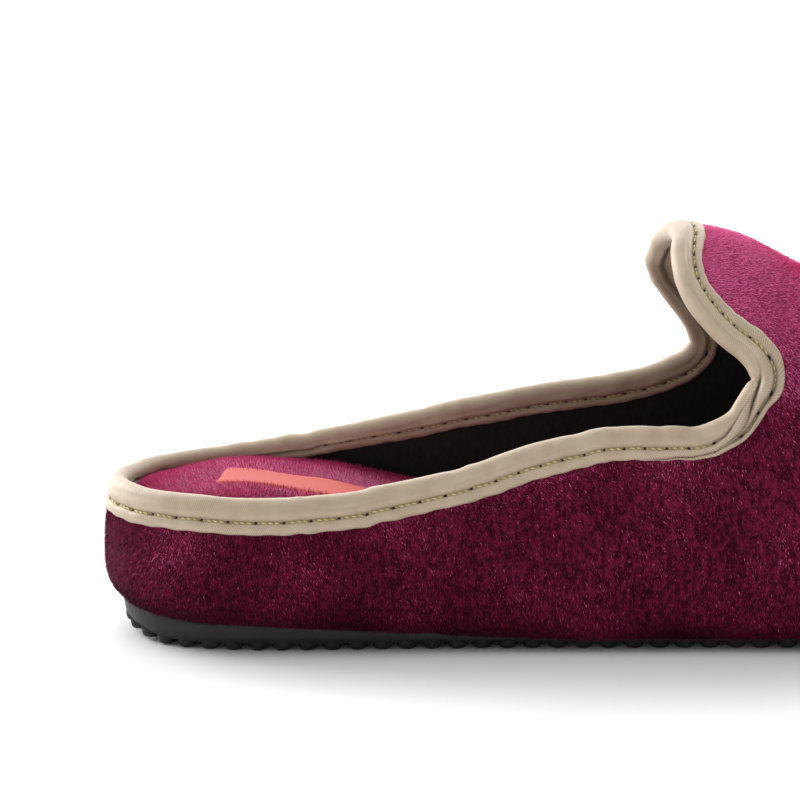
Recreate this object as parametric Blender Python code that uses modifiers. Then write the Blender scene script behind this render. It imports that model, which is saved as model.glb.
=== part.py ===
"""House slipper: the right shoe of a pair, an open-backed mule on a low wedge.

Four pieces: a rubber outsole with lugs, a soft wedge insole, a hollow velvet upper that is open at the
collar and underneath, and a satin binding folded over the whole top edge. +X runs to the toe, +Y to the
inner (medial) side of the foot, +Z up. The origin is under the middle of the shoe, on the floor.
"""
import math
from functools import lru_cache

import bmesh
import bpy
import numpy as np
from mathutils import Vector

MM = 0.001

# Driving dimensions in millimetres
LENGTH = 256.0
BALL_WIDTH = 93.0
HEEL_WIDTH = 66.0
INSTEP_HEIGHT = 93.5
HEEL_WALL_HEIGHT = 36.0
LATERAL_CORNER_HEIGHT = 61.0
MEDIAL_CORNER_HEIGHT = 59.0
LATERAL_CORNER_REACH = 153.0
MEDIAL_CORNER_REACH = 146.0
TONGUE_REACH = 138.5
LATERAL_THROAT_SWEEP = 8.5
MEDIAL_THROAT_SWEEP = 4.5
TOE_ROLL = 30.0
HEEL_ROLL = 34.0
UPPER_WALL = 2.0
FIT_GAP = 0.3
BINDING_WIDTH = 7.8
BINDING_THICKNESS = 0.8
EDGE_LEAN = 1.8
EDGE_LEAN_HEIGHT = 14.0
TUCK_DEPTH = 3.8
TUCK_HEIGHT = 5.0
OUTSOLE_INSET = 4.0
HEEL_PLATE = 8.3
FOREFOOT_PLATE = 1.3
LUG_DEPTH = 1.5
HEEL_LIFT = 5.2
TOE_SPRING = 6.0
BALL_BED_THICKNESS = 7.4
BED_CROWN = 2.6
BED_EASE = 0.25
BED_TUCK_EASE = 1.6
BED_STEP = 1.0
KNOB_PITCH = 5.5
KNOB_RADIUS = 1.9
KNOB_MARGIN = 0.15
BAR_WIDTH = 4.0
BAR_PITCH = 8.0
BAR_MARGIN = 3.0
LUG_TAPER = 0.3
HEEL_PAD_RADIUS = 14.0
BALL_PAD_RADIUS = 20.0
THROAT_FULLNESS = 2.1
TOE_FULLNESS = 2.5

# Mesh density
LOW_COLUMNS = 30
VAMP_COLUMNS = 18
VAMP_ROWS = 8
SOLE_COLUMNS = 30
KNOB_SIDES = 6
PAD_SIDES = 28
RING_SAMPLES = 800
TOP_ROW = 6
ROW_SPREAD = 1.15
LAST_COLUMN = LOW_COLUMNS + VAMP_COLUMNS
LAST_ROW = TOP_ROW + VAMP_ROWS
ROLL_STEPS = 4
# How much wider than a half circle the binding's roll is, so its flat spans clear the edge
ROLL_EASE = 1.06

LATERAL = -1
MEDIAL = 1

# Plan outline of the upper at its widest. Along is a share of the length; the half width is the heel
# share of half the heel width plus the ball share of half the ball width; swing moves the middle of the
# section to the medial side, as a share of the ball width.
OUTLINE = (
    # along, heel share, ball share, swing
    (0.016, 0.44, 0.000, 0.000),
    (0.048, 0.71, 0.000, 0.000),
    (0.095, 0.88, 0.000, -0.002),
    (0.160, 0.97, 0.000, -0.004),
    (0.258, 0.80, 0.144, -0.012),
    (0.377, 0.45, 0.436, -0.017),
    (0.496, 0.15, 0.725, -0.014),
    (0.595, 0.00, 0.905, -0.006),
    (0.683, 0.00, 0.976, 0.004),
    (0.774, 0.00, 0.988, 0.014),
    (0.853, 0.00, 0.915, 0.024),
    (0.925, 0.00, 0.730, 0.038),
    (0.976, 0.00, 0.440, 0.051),
)
TOE_SWING = 0.056

# Height of the form over the middle of the foot, as a share of the instep height. Behind the tongue
# there is no upper so high, but the low wall leans as if it went on to this line.
RIDGE = (
    # along, height share
    (0.000, 0.96),
    (0.300, 0.97),
    (0.535, 1.000),
    (0.560, 1.000),
    (0.585, 0.983),
    (0.610, 0.958),
    (0.660, 0.890),
    (0.720, 0.808),
    (0.780, 0.717),
    (0.840, 0.615),
    (0.885, 0.530),
    (0.940, 0.405),
)

# Top edge of the low wall. Along is a share of the way from the heel to the throat corner; rise is a
# share of the step from the heel wall's height up to the corner's height.
LATERAL_TOPLINE = (
    # along, rise
    (0.000, 0.040),
    (0.170, 0.005),
    (0.250, -0.015),
    (0.366, 0.030),
    (0.470, 0.130),
    (0.550, 0.250),
    (0.630, 0.400),
    (0.706, 0.520),
    (0.778, 0.605),
    (0.856, 0.600),
    (0.910, 0.600),
    (0.965, 0.730),
    (1.000, 1.000),
)
MEDIAL_TOPLINE = (
    # along, rise
    (0.000, 0.040),
    (0.090, 0.045),
    (0.185, 0.075),
    (0.280, 0.130),
    (0.384, 0.235),
    (0.480, 0.350),
    (0.580, 0.480),
    (0.670, 0.575),
    (0.780, 0.645),
    (0.884, 0.705),
    (0.960, 0.830),
    (1.000, 1.000),
)

# Back edge of the vamp, from the throat corner to the tip of the tongue. Inward is the share of the way
# in to the middle, back is a share of the throat sweep.
THROAT = (
    # inward, back
    (0.00, 0.00),
    (0.10, 0.40),
    (0.22, 0.85),
    (0.34, 1.00),
    (0.50, 0.90),
    (0.75, 0.45),
    (1.00, 0.00),
)

# Top face of the outsole's plate: share of the step from the forefoot's thickness up to the heel's.
SOLE_TOP = (
    # along, rise
    (0.000, 1.000),
    (0.035, 0.820),
    (0.075, 0.660),
    (0.110, 0.560),
    (0.180, 0.460),
    (0.250, 0.320),
    (0.325, 0.150),
    (0.390, 0.040),
    (0.470, 0.000),
    (1.000, 0.000),
)

# Top of the footbed on its middle line: share of the step from the ball up to the heel, where its crown
# is level with the heel wall's top edge.
BED_TOP = (
    # along, rise
    (0.000, 0.985),
    (0.060, 1.000),
    (0.130, 1.000),
    (0.176, 0.985),
    (0.215, 0.945),
    (0.250, 0.885),
    (0.285, 0.810),
    (0.350, 0.640),
    (0.430, 0.410),
    (0.510, 0.210),
    (0.600, 0.060),
    (0.700, 0.000),
    (0.840, 0.000),
    (1.000, 0.080),
)
HEEL_LIFT_END = 0.075
TOE_SPRING_START = 0.800
HEEL_PAD_PLACE = 0.150
BALL_PAD_PLACE = 0.690
BAR_START = 0.090
BAR_END = 0.860

# How much the lower edge of the binding is rounded where it turns up at the throat corner
BAND_TURN = 2.3
# How high the low rows of the vamp reach at the toe, as a share of the form's height
SHOULDER_SHARE = 0.60
# Most of the free wall that the rows under the binding may take, where the form is low at the toe
TOE_BAND_SHARE = 0.55
# How far in front of the throat its sweep dies out, as a share of the vamp's length
SWEEP_FADE = 0.36
# How far up the footbed's side its extra clearance over the tucked edge dies out, in tuck heights
TUCK_EASE_REACH = 1.6


def read(table, where, column=1):
    """Smooth value from a table whose first column rises from row to row, by a cubic through its rows."""
    places = [row[0] for row in table]
    values = [row[column] for row in table]
    where = min(max(where, places[0]), places[-1])
    slopes = []
    for k in range(len(table)):
        before = max(k - 1, 0)
        after = min(k + 1, len(table) - 1)
        slopes.append((values[after] - values[before]) / (places[after] - places[before]))
    k = max(i for i in range(len(table) - 1) if places[i] <= where)
    span = places[k + 1] - places[k]
    t = (where - places[k]) / span
    start = values[k] * (1 + 2 * t) * (1 - t) ** 2 + span * slopes[k] * t * (1 - t) ** 2
    end = values[k + 1] * t * t * (3 - 2 * t) + span * slopes[k + 1] * t * t * (t - 1)
    return start + end


def outline_ring():
    """Points of the plan outline: heel back, lateral side, toe tip, medial side."""
    edges = {LATERAL: [], MEDIAL: []}
    for along, heel, ball, swing in OUTLINE:
        half = heel * HEEL_WIDTH / 2 + ball * BALL_WIDTH / 2
        middle = swing * BALL_WIDTH
        for side, points in edges.items():
            points.append((along * LENGTH, middle + side * half))
    toe_tip = (LENGTH, TOE_SWING * BALL_WIDTH)
    return [(0.0, 0.0)] + edges[LATERAL] + [toe_tip] + edges[MEDIAL][::-1]


def closed_spline(points):
    """Samples of the closed cubic spline through the points, with the index where each knot falls."""
    points = np.array(points)
    count = len(points)
    step = np.linalg.norm(np.roll(points, -1, axis=0) - points, axis=1)
    system = np.zeros((count, count))
    right = np.zeros((count, 2))
    for k in range(count):
        after = (k + 1) % count
        system[k, k - 1] += step[k - 1] / 6
        system[k, k] += (step[k - 1] + step[k]) / 3
        system[k, after] += step[k] / 6
        right[k] = (points[after] - points[k]) / step[k] - (points[k] - points[k - 1]) / step[k - 1]
    bend = np.linalg.solve(system, right)
    samples = []
    per_span = RING_SAMPLES // count
    for k in range(count):
        after = (k + 1) % count
        for b in np.arange(per_span) / per_span:
            a = 1 - b
            curve = (a ** 3 - a) * bend[k] + (b ** 3 - b) * bend[after]
            samples.append(a * points[k] + b * points[after] + curve * step[k] ** 2 / 6)
    return np.array(samples), per_span


class Outline:
    """Plan outline, read by the share of the way from the heel back to the toe tip on either side."""

    def __init__(self):
        ring, per_span = closed_spline(outline_ring())
        toe = (len(OUTLINE) + 1) * per_span
        closed = np.vstack((ring, ring[:1]))
        self.path = {LATERAL: closed[:toe + 1], MEDIAL: closed[toe:][::-1]}
        self.reach = {}
        for side, path in self.path.items():
            length = np.concatenate(([0.0], np.cumsum(np.linalg.norm(np.diff(path, axis=0), axis=1))))
            self.reach[side] = length

    def point(self, side, share):
        path = self.path[side]
        reach = self.reach[side]
        where = share * reach[-1]
        return Vector((np.interp(where, reach, path[:, 0]), np.interp(where, reach, path[:, 1])))

    def normal(self, side, share, reach=0.004):
        """Unit vector that points out of the shoe."""
        if share < reach:
            return Vector((-1.0, 0.0))
        if share > 1 - reach:
            return Vector((1.0, 0.0))
        along = self.point(side, share + reach) - self.point(side, share - reach)
        out = Vector((along.y, -along.x)) * -side
        return out.normalized()

    def inset(self, side, share, depth):
        return self.point(side, share) - depth * self.normal(side, share)

    def share_at(self, side, x):
        """Share of the way at which the outline reaches x."""
        low, high = 0.0, 1.0
        for _ in range(50):
            middle = (low + high) / 2
            if self.point(side, middle).x < x:
                low = middle
            else:
                high = middle
        return (low + high) / 2

    def half_width(self, side, x):
        return abs(self.point(side, self.share_at(side, x)).y)


outline = Outline()
MIDDLE_Y = 0.5 * (outline.path[MEDIAL][:, 1].max() + outline.path[LATERAL][:, 1].min())


def placed(x, y, z):
    """A point of the shoe in metres, with the origin under the middle of its outline."""
    return Vector(((x - LENGTH / 2) * MM, (y - MIDDLE_Y) * MM, z * MM))


def sole_lift(x):
    """How far the tread rises off the floor, behind the heel's bearing face and before the toe."""
    heel_end = HEEL_LIFT_END * LENGTH
    toe_start = TOE_SPRING_START * LENGTH
    if x < heel_end:
        return HEEL_LIFT * (1 - max(x, 0.0) / heel_end) ** 2
    if x > toe_start:
        return TOE_SPRING * ((x - toe_start) / (LENGTH - toe_start)) ** 2
    return 0.0


def sole_top(x):
    rise = read(SOLE_TOP, x / LENGTH)
    toe_lift = sole_lift(x) if x > LENGTH / 2 else 0.0
    plate = FOREFOOT_PLATE + rise * (HEEL_PLATE - FOREFOOT_PLATE)
    return LUG_DEPTH + plate + toe_lift


def bed_top(x):
    rise = read(BED_TOP, x / LENGTH)
    toe_lift = sole_lift(x) if x > LENGTH / 2 else 0.0
    ball = LUG_DEPTH + FOREFOOT_PLATE + FIT_GAP + BALL_BED_THICKNESS
    return ball + rise * (HEEL_WALL_HEIGHT - ball) + toe_lift


def swing_at(x):
    """Middle of the section at x, toward the medial side."""
    rows = ((0.0, 0.0),) + tuple((row[0], row[3]) for row in OUTLINE) + ((1.0, TOE_SWING),)
    return read(rows, x / LENGTH) * BALL_WIDTH


def ridge_height(x):
    return read(RIDGE, x / LENGTH) * INSTEP_HEIGHT


def rounded(share, fullness):
    """The other share of a full oval: 1 at 0, 0 at 1, rounder for a higher fullness."""
    return (1 - min(max(share, 0.0), 1.0) ** fullness) ** (1 / fullness)


class Side:
    """One side of the upper's form, from the heel back to the toe tip."""

    def __init__(self, side, corner_reach, corner_height, throat_sweep, topline):
        self.side = side
        self.throat_sweep = throat_sweep
        self.corner_height = corner_height
        self.topline = topline
        base = sole_top(corner_reach) + FIT_GAP
        self.corner_share = (corner_height - base) / (ridge_height(TONGUE_REACH) - base)
        self.corner_inward = 1 - rounded(self.corner_share, THROAT_FULLNESS)
        self.corner_x = (corner_reach - self.corner_inward * TONGUE_REACH) / (1 - self.corner_inward)
        self.corner = outline.share_at(side, self.corner_x)

    def vamp_share(self, share):
        return max(0.0, (share - self.corner) / (1 - self.corner))

    def ridge_point(self, share):
        """The point on the middle line that the section at this share leans to."""
        if share < self.corner:
            x = HEEL_ROLL + (TONGUE_REACH - HEEL_ROLL) * share / self.corner
        else:
            x = TONGUE_REACH + (LENGTH - TOE_ROLL - TONGUE_REACH) * self.vamp_share(share)
        return Vector((x, swing_at(x), ridge_height(x)))

    @lru_cache(maxsize=None)
    def base_height(self, share):
        return sole_top(outline.inset(self.side, share, TUCK_DEPTH).x) + FIT_GAP

    @lru_cache(maxsize=None)
    def top_height(self, share):
        """Height of the low wall's top edge, or of the matching line on the vamp."""
        base = self.base_height(share)
        if share <= self.corner:
            along = outline.point(self.side, share).x / self.corner_x
            rise = read(self.topline, along)
            return HEEL_WALL_HEIGHT + rise * (self.corner_height - HEEL_WALL_HEIGHT)
        forward = self.vamp_share(share)
        height_share = self.corner_share + (SHOULDER_SHARE - self.corner_share) * forward
        return base + height_share * (self.ridge_point(share).z - base)

    def sweep(self, share, inward):
        """How far the vamp's back edge lies behind its plain section."""
        fade = max(0.0, 1 - self.vamp_share(share) / SWEEP_FADE) ** 2
        along = max(0.0, (inward - self.corner_inward) / (1 - self.corner_inward))
        return self.throat_sweep * read(THROAT, along) * fade

    def edge_lean(self, share, z):
        """How far the binding draws the low wall in near its top edge, less toward the throat."""
        if share >= self.corner:
            return 0.0
        near_top = max(0.0, 1 - (self.top_height(share) - z) / EDGE_LEAN_HEIGHT)
        return EDGE_LEAN * near_top ** 2 * (1 - (share / self.corner) ** 4)

    @lru_cache(maxsize=None)
    def frame(self, share):
        """What each point of one section needs: foot, ridge, ridge slope, base height and fullness."""
        foot = outline.point(self.side, share)
        ridge = self.ridge_point(share)
        slope = (ridge_height(ridge.x + 1.0) - ridge_height(ridge.x - 1.0)) / 2
        fullness = THROAT_FULLNESS + (TOE_FULLNESS - THROAT_FULLNESS) * self.vamp_share(share)
        return foot, ridge, slope, self.base_height(share), fullness

    def height_at(self, share, inward):
        """Height of the section where it has moved in by a share of the way to the ridge."""
        foot, ridge, slope, base, fullness = self.frame(share)
        top = ridge.z + slope * (foot.x - ridge.x) * (1 - inward)
        return base + (top - base) * rounded(1 - inward, fullness)

    def inward_at(self, share, z):
        low, high = 0.0, 1.0
        for _ in range(30):
            middle = (low + high) / 2
            if self.height_at(share, middle) < z:
                low = middle
            else:
                high = middle
        return (low + high) / 2

    def at_height(self, share, z):
        """Point of the outer surface at a height below the ridge."""
        foot, ridge, _, base, _ = self.frame(share)
        inward = self.inward_at(share, z)
        tuck = max(0.0, 1 - (z - base) / TUCK_HEIGHT) ** 2 * TUCK_DEPTH + self.edge_lean(share, z)
        out = outline.normal(self.side, share)
        x = foot.x + (ridge.x - foot.x) * inward - tuck * out.x - self.sweep(share, inward)
        y = foot.y + (ridge.y - foot.y) * inward - tuck * out.y
        return Vector((x, y, z))

    def low_rows(self, share):
        """Heights from the bottom edge up to the top edge, the last two steps under the binding."""
        base = self.base_height(share)
        top = self.top_height(share)
        free = top - base - TUCK_HEIGHT
        band = min(BINDING_WIDTH, TOE_BAND_SHARE * free)
        half_tucked = base + 0.3 * TUCK_HEIGHT
        tucked = base + TUCK_HEIGHT
        below = top - band
        return (base, half_tucked, tucked, (tucked + below) / 2, below, top - band / 2, top)

    def section(self, share):
        """Points from the bottom edge to the top edge, and on the vamp to the ridge."""
        heights = self.low_rows(share)
        points = [self.at_height(share, z) for z in heights]
        if share < self.columns()[LOW_COLUMNS]:
            return points
        if share == self.columns()[LOW_COLUMNS + 2]:
            turn = BAND_TURN / outline.reach[self.side][-1]
            points[TOP_ROW - 2] = self.at_height(share - turn, heights[TOP_ROW - 2] + BAND_TURN)
        start = self.inward_at(share, heights[TOP_ROW])
        for k in range(1, VAMP_ROWS):
            inward = start + (1 - start) * (k / VAMP_ROWS) ** ROW_SPREAD
            points.append(self.at_height(share, self.height_at(share, inward)))
        points.append(self.ridge_point(share))
        return points

    @lru_cache(maxsize=None)
    def columns(self):
        """Shares of the way along this side, closer together under the binding at the throat."""
        low = [self.corner * k / LOW_COLUMNS for k in range(LOW_COLUMNS + 1)]
        vamp_length = outline.reach[self.side][-1] * (1 - self.corner)
        band = BINDING_WIDTH / vamp_length
        plain = VAMP_COLUMNS - 2
        steps = [band / 2, band] + [band + (1 - band) * k / plain for k in range(1, plain + 1)]
        return low + [self.corner + (1 - self.corner) * step for step in steps]


lateral_sizes = (LATERAL_CORNER_REACH, LATERAL_CORNER_HEIGHT, LATERAL_THROAT_SWEEP)
medial_sizes = (MEDIAL_CORNER_REACH, MEDIAL_CORNER_HEIGHT, MEDIAL_THROAT_SWEEP)
sides = {
    LATERAL: Side(LATERAL, *lateral_sizes, LATERAL_TOPLINE),
    MEDIAL: Side(MEDIAL, *medial_sizes, MEDIAL_TOPLINE),
}


def grid_key(side, column, row):
    """One name for a grid point, the same on both sides where the sides meet."""
    on_seam = column in (0, LAST_COLUMN) or row == LAST_ROW
    return (0 if on_seam else side, column, row)


def form_grid():
    """The outer surface of the upper as a mesh, with its points by grid name."""
    mesh = bmesh.new()
    verts = {}
    for side, form in sides.items():
        for column, share in enumerate(form.columns()):
            for row, point in enumerate(form.section(share)):
                key = grid_key(side, column, row)
                if key not in verts:
                    verts[key] = mesh.verts.new(placed(*point))
    for side in sides:
        for column in range(LAST_COLUMN):
            rows = LAST_ROW if column >= LOW_COLUMNS else TOP_ROW
            for row in range(rows):
                names = ((column, row), (column + 1, row), (column + 1, row + 1), (column, row + 1))
                corners = [verts[grid_key(side, *name)] for name in names]
                mesh.faces.new(corners if side == LATERAL else corners[::-1])
    mesh.normal_update()
    return mesh, verts


def material(name, colour, roughness):
    made = bpy.data.materials.new(name)
    made.use_nodes = True
    shader = made.node_tree.nodes["Principled BSDF"]
    shader.inputs["Base Color"].default_value = (*colour, 1.0)
    shader.inputs["Roughness"].default_value = roughness
    shader.inputs["Metallic"].default_value = 0.0
    made.diffuse_color = (*colour, 1.0)
    return made


def new_object(name, mesh, finish, collection):
    """Turn a bmesh into a smooth-shaded object."""
    data = bpy.data.meshes.new(name)
    mesh.to_mesh(data)
    mesh.free()
    data.shade_smooth()
    data.set_sharp_from_angle(angle=math.radians(40))
    item = bpy.data.objects.new(name, data)
    if finish is not None:
        data.materials.append(finish)
    collection.objects.link(item)
    return item


def make_upper(finish, collection):
    """The velvet shell: the form's surface with its wall laid inward."""
    mesh, _ = form_grid()
    item = new_object("upper", mesh, finish, collection)
    wall = item.modifiers.new("wall", "SOLIDIFY")
    wall.thickness = UPPER_WALL * MM
    wall.offset = -1.0
    wall.use_quality_normals = True
    return item


def edge_names():
    """Grid names along the top edge: heel, lateral topline and throat, tongue, medial throat, heel."""
    lateral = [(LATERAL, column, TOP_ROW) for column in range(LOW_COLUMNS + 1)]
    lateral += [(LATERAL, LOW_COLUMNS, row) for row in range(TOP_ROW + 1, LAST_ROW + 1)]
    medial = [(MEDIAL, column, row) for _, column, row in lateral[1:-1]]
    return [grid_key(*name) for name in lateral + medial[::-1]]


def band_cells():
    """Grid cells under the binding: two rows below the topline and two columns along the throat."""
    cells = []
    for side in sides:
        for column in range(LOW_COLUMNS + 2):
            for row in (TOP_ROW - 2, TOP_ROW - 1):
                cells.append((side, column, row))
        for column in (LOW_COLUMNS, LOW_COLUMNS + 1):
            for row in range(TOP_ROW, LAST_ROW):
                cells.append((side, column, row))
    return cells


def make_binding(finish, collection):
    """The satin strip: a sheet down the outside, over the edge and down the inside, then thickened."""
    form, verts = form_grid()
    outer_leg = (FIT_GAP + BINDING_THICKNESS / 2) * MM
    inner_leg = -(UPPER_WALL + FIT_GAP + BINDING_THICKNESS / 2) * MM
    mesh = bmesh.new()
    made = {}

    def leg_vert(key, level, offset):
        if (key, level) not in made:
            source = verts[key]
            made[key, level] = mesh.verts.new(source.co + source.normal * offset)
        return made[key, level]

    for side, column, row in band_cells():
        names = ((column, row), (column + 1, row), (column + 1, row + 1), (column, row + 1))
        keys = [grid_key(side, *name) for name in names]
        if side == MEDIAL:
            keys = keys[::-1]
        mesh.faces.new([leg_vert(key, 0, outer_leg) for key in keys])
        mesh.faces.new([leg_vert(key, ROLL_STEPS, inner_leg) for key in keys[::-1]])

    edge = edge_names()
    centre_depth = -UPPER_WALL / 2 * MM
    radius = outer_leg - centre_depth
    for k, key in enumerate(edge):
        source = verts[key]
        along = verts[edge[(k + 1) % len(edge)]].co - verts[edge[k - 1]].co
        away = source.normal.cross(along).normalized()
        centre = source.co + source.normal * centre_depth
        for step in range(1, ROLL_STEPS):
            angle = math.pi * step / ROLL_STEPS
            reach = source.normal * math.cos(angle) + away * math.sin(angle)
            made[key, step] = mesh.verts.new(centre + reach * radius * ROLL_EASE)
    for k, key in enumerate(edge):
        after = edge[(k + 1) % len(edge)]
        for step in range(ROLL_STEPS):
            corners = (made[key, step], made[after, step], made[after, step + 1], made[key, step + 1])
            mesh.faces.new(corners)
    form.free()
    item = new_object("binding", mesh, finish, collection)
    cloth = item.modifiers.new("cloth", "SOLIDIFY")
    cloth.thickness = BINDING_THICKNESS * MM
    cloth.offset = 0.0
    cloth.use_quality_normals = True
    return item


def ring_between(lateral_points, medial_points):
    """Join the two sides' points, which share their first and last, into one ring."""
    return lateral_points + medial_points[-2:0:-1]


def closed_from_rings(rings, caps):
    """A closed body from rings of points, bridged in turn, with cross strips over both ends."""
    mesh = bmesh.new()
    levels = [[mesh.verts.new(placed(*point)) for point in ring] for ring in rings]
    count = len(levels[0])
    for lower, upper in zip(levels, levels[1:]):
        for k in range(count):
            after = (k + 1) % count
            mesh.faces.new((lower[k], lower[after], upper[after], upper[k]))
    half = count // 2
    for level, middle_height, flip in ((levels[0], caps[0], True), (levels[-1], caps[1], False)):
        middles = []
        for k in range(1, half):
            near, far = level[k], level[count - k]
            point = (near.co + far.co) / 2
            point.z = middle_height(point.x / MM + LENGTH / 2) * MM
            middles.append(mesh.verts.new(point))
        for k in range(half):
            near = (level[k], level[k + 1])
            far = (level[(count - k) % count], level[count - k - 1])
            first = middles[k - 1] if k > 0 else None
            second = middles[k] if k < half - 1 else None
            for pair, turned in ((near, flip), (far, not flip)):
                corners = [vert for vert in (pair[0], pair[1], second, first) if vert is not None]
                mesh.faces.new(corners[::-1] if turned else corners)
    bmesh.ops.recalc_face_normals(mesh, faces=mesh.faces)
    return mesh


def flat_ring(depth, height, shares):
    """A ring at a depth inside the outline, its height a function of x."""
    rings = []
    for side in sides:
        flat = [outline.inset(side, share, depth) for share in shares[side]]
        rings.append([(point.x, point.y, height(point.x)) for point in flat])
    return ring_between(*rings)


def make_insole(finish, collection):
    """The wedge footbed: sides follow the upper's inner face, top crowned inside the binding."""
    wall_depth = UPPER_WALL + FIT_GAP + BED_EASE
    clear_depth = wall_depth + FIT_GAP + BINDING_THICKNESS + BED_EASE
    shares = {side: form.columns()[::2] for side, form in sides.items()}

    def inner_ring(height, depth):
        rings = []
        for side, form in sides.items():
            points = []
            for share in shares[side]:
                z = height(form, share)
                outer = form.at_height(share, z)
                out = outline.normal(side, share)
                above = form.at_height(share, z + 1.0)
                lean = math.hypot(above.x - outer.x, above.y - outer.y)
                over_tuck = (z - form.base_height(share)) / (TUCK_EASE_REACH * TUCK_HEIGHT)
                reach = depth * math.hypot(1.0, lean) + BED_TUCK_EASE * max(0.0, 1 - over_tuck)
                points.append((outer.x - reach * out.x, outer.y - reach * out.y, z))
            rings.append(points)
        return ring_between(*rings)

    def bed_edge(form, share):
        return bed_top(outline.inset(form.side, share, clear_depth).x) - BED_CROWN

    def under_binding(form, share):
        below = form.top_height(share) - BINDING_WIDTH - BINDING_THICKNESS - BED_STEP
        return min(bed_edge(form, share) - BED_STEP, below)

    def low_side(form, share):
        return min(form.base_height(share) + TUCK_HEIGHT, under_binding(form, share) - BED_STEP)

    def over_step(form, share):
        return under_binding(form, share) + 0.6 * BED_STEP

    def bed_shoulder(form, share):
        return bed_edge(form, share) + 0.7 * BED_CROWN

    def bed_base(x):
        return sole_top(x) + FIT_GAP

    rings = [
        flat_ring(TUCK_DEPTH + UPPER_WALL + BED_TUCK_EASE, bed_base, shares),
        inner_ring(low_side, wall_depth),
        inner_ring(under_binding, wall_depth),
        inner_ring(over_step, clear_depth),
        inner_ring(bed_edge, clear_depth),
        inner_ring(bed_shoulder, clear_depth + BED_CROWN / 2),
    ]
    mesh = closed_from_rings(rings, (bed_base, bed_top))
    return new_object("insole", mesh, finish, collection)


def make_tread(name, shapes, cutters):
    """Separate closed shapes gathered in one hidden object, to be joined to the outsole."""
    item = new_object(name, shapes, None, cutters)
    item.hide_render = True
    item.display_type = "WIRE"
    return item


def add_post(mesh, x, y, radius, sides_count, sunk):
    """A short tapered post from inside the outsole's plate down to the floor line."""
    low = sole_lift(x)
    high = low + LUG_DEPTH + sunk
    made = bmesh.ops.create_cone(
        mesh, cap_ends=True, segments=sides_count,
        radius1=(radius - LUG_TAPER) * MM, radius2=radius * MM, depth=(high - low) * MM,
    )
    middle = placed(x, y, (low + high) / 2)
    bmesh.ops.translate(mesh, verts=made["verts"], vec=middle)


def knob_shapes(sunk):
    """Small round lugs all round the edge, an even pitch apart."""
    mesh = bmesh.new()
    depth = OUTSOLE_INSET + KNOB_RADIUS + KNOB_MARGIN
    for side in sides:
        path = [outline.inset(side, k / 400, depth) for k in range(401)]
        reach = [0.0]
        for near, far in zip(path, path[1:]):
            reach.append(reach[-1] + (far - near).length)
        count = round(reach[-1] / KNOB_PITCH)
        for k in range(count):
            where = (k + 0.5) * reach[-1] / count
            x = float(np.interp(where, reach, [point.x for point in path]))
            y = float(np.interp(where, reach, [point.y for point in path]))
            add_post(mesh, x, y, KNOB_RADIUS, KNOB_SIDES, sunk)
    return mesh


def bar_shapes(sunk):
    """Cross bars between the rows of knobs."""
    mesh = bmesh.new()
    clear = OUTSOLE_INSET + KNOB_MARGIN + 2 * KNOB_RADIUS + BAR_MARGIN
    first, last = BAR_START * LENGTH, BAR_END * LENGTH
    count = int((last - first) / BAR_PITCH)
    for k in range(count + 1):
        x = first + k * BAR_PITCH
        ends = [outline.half_width(side, x) * side - clear * side for side in sides]
        low = sole_lift(x)
        high = low + LUG_DEPTH + sunk
        made = bmesh.ops.create_cube(mesh, size=1.0)
        size = Vector((BAR_WIDTH, abs(ends[1] - ends[0]), high - low)) * MM
        bmesh.ops.scale(mesh, vec=size, verts=made["verts"])
        middle = placed(x, sum(ends) / 2, (low + high) / 2)
        bmesh.ops.translate(mesh, verts=made["verts"], vec=middle)
    return mesh


def pad_shapes(sunk):
    """A round bearing pad under the heel and another under the ball of the foot."""
    mesh = bmesh.new()
    for place, radius in ((HEEL_PAD_PLACE, HEEL_PAD_RADIUS), (BALL_PAD_PLACE, BALL_PAD_RADIUS)):
        x = place * LENGTH
        add_post(mesh, x, swing_at(x), radius, PAD_SIDES, sunk)
    return mesh


def make_outsole(finish, collection, cutters):
    """The rubber unit: a plate that follows the upper's outline, with its tread joined on."""

    def plate_low(x):
        return sole_lift(x) + LUG_DEPTH

    even = [k / SOLE_COLUMNS for k in range(SOLE_COLUMNS + 1)]
    shares = {side: even for side in sides}
    rings = [
        flat_ring(OUTSOLE_INSET, plate_low, shares),
        flat_ring(OUTSOLE_INSET, sole_top, shares),
    ]
    mesh = closed_from_rings(rings, (plate_low, sole_top))
    item = new_object("outsole", mesh, finish, collection)
    shapes = (("knobs", knob_shapes, 0.27), ("bars", bar_shapes, 0.35), ("pads", pad_shapes, 0.43))
    for name, shape, sunk_share in shapes:
        tread = make_tread("tread_" + name, shape(sunk_share * FOREFOOT_PLATE), cutters)
        join = item.modifiers.new(name, "BOOLEAN")
        join.operation = "UNION"
        join.solver = "EXACT"
        join.object = tread
    return item


def main():
    for item in list(bpy.data.objects):
        bpy.data.objects.remove(item, do_unlink=True)
    shoe = bpy.data.collections.new("house_slipper")
    cutters = bpy.data.collections.new("tread_shapes")
    for collection in (shoe, cutters):
        bpy.context.scene.collection.children.link(collection)
    rubber = material("black_rubber", (0.012, 0.012, 0.013), 0.55)
    velvet = material("burgundy_velvet", (0.20, 0.008, 0.055), 0.85)
    bed_velvet = material("bed_velvet", (0.30, 0.012, 0.085), 0.85)
    satin = material("beige_satin", (0.62, 0.49, 0.34), 0.40)
    make_outsole(rubber, shoe, cutters)
    make_insole(bed_velvet, shoe)
    make_upper(velvet, shoe)
    make_binding(satin, shoe)


main()
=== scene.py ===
import math

import bmesh
import bpy
import numpy as np
from mathutils import Matrix, Vector, noise
from mathutils.bvhtree import BVHTree
from mathutils.kdtree import KDTree


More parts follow.
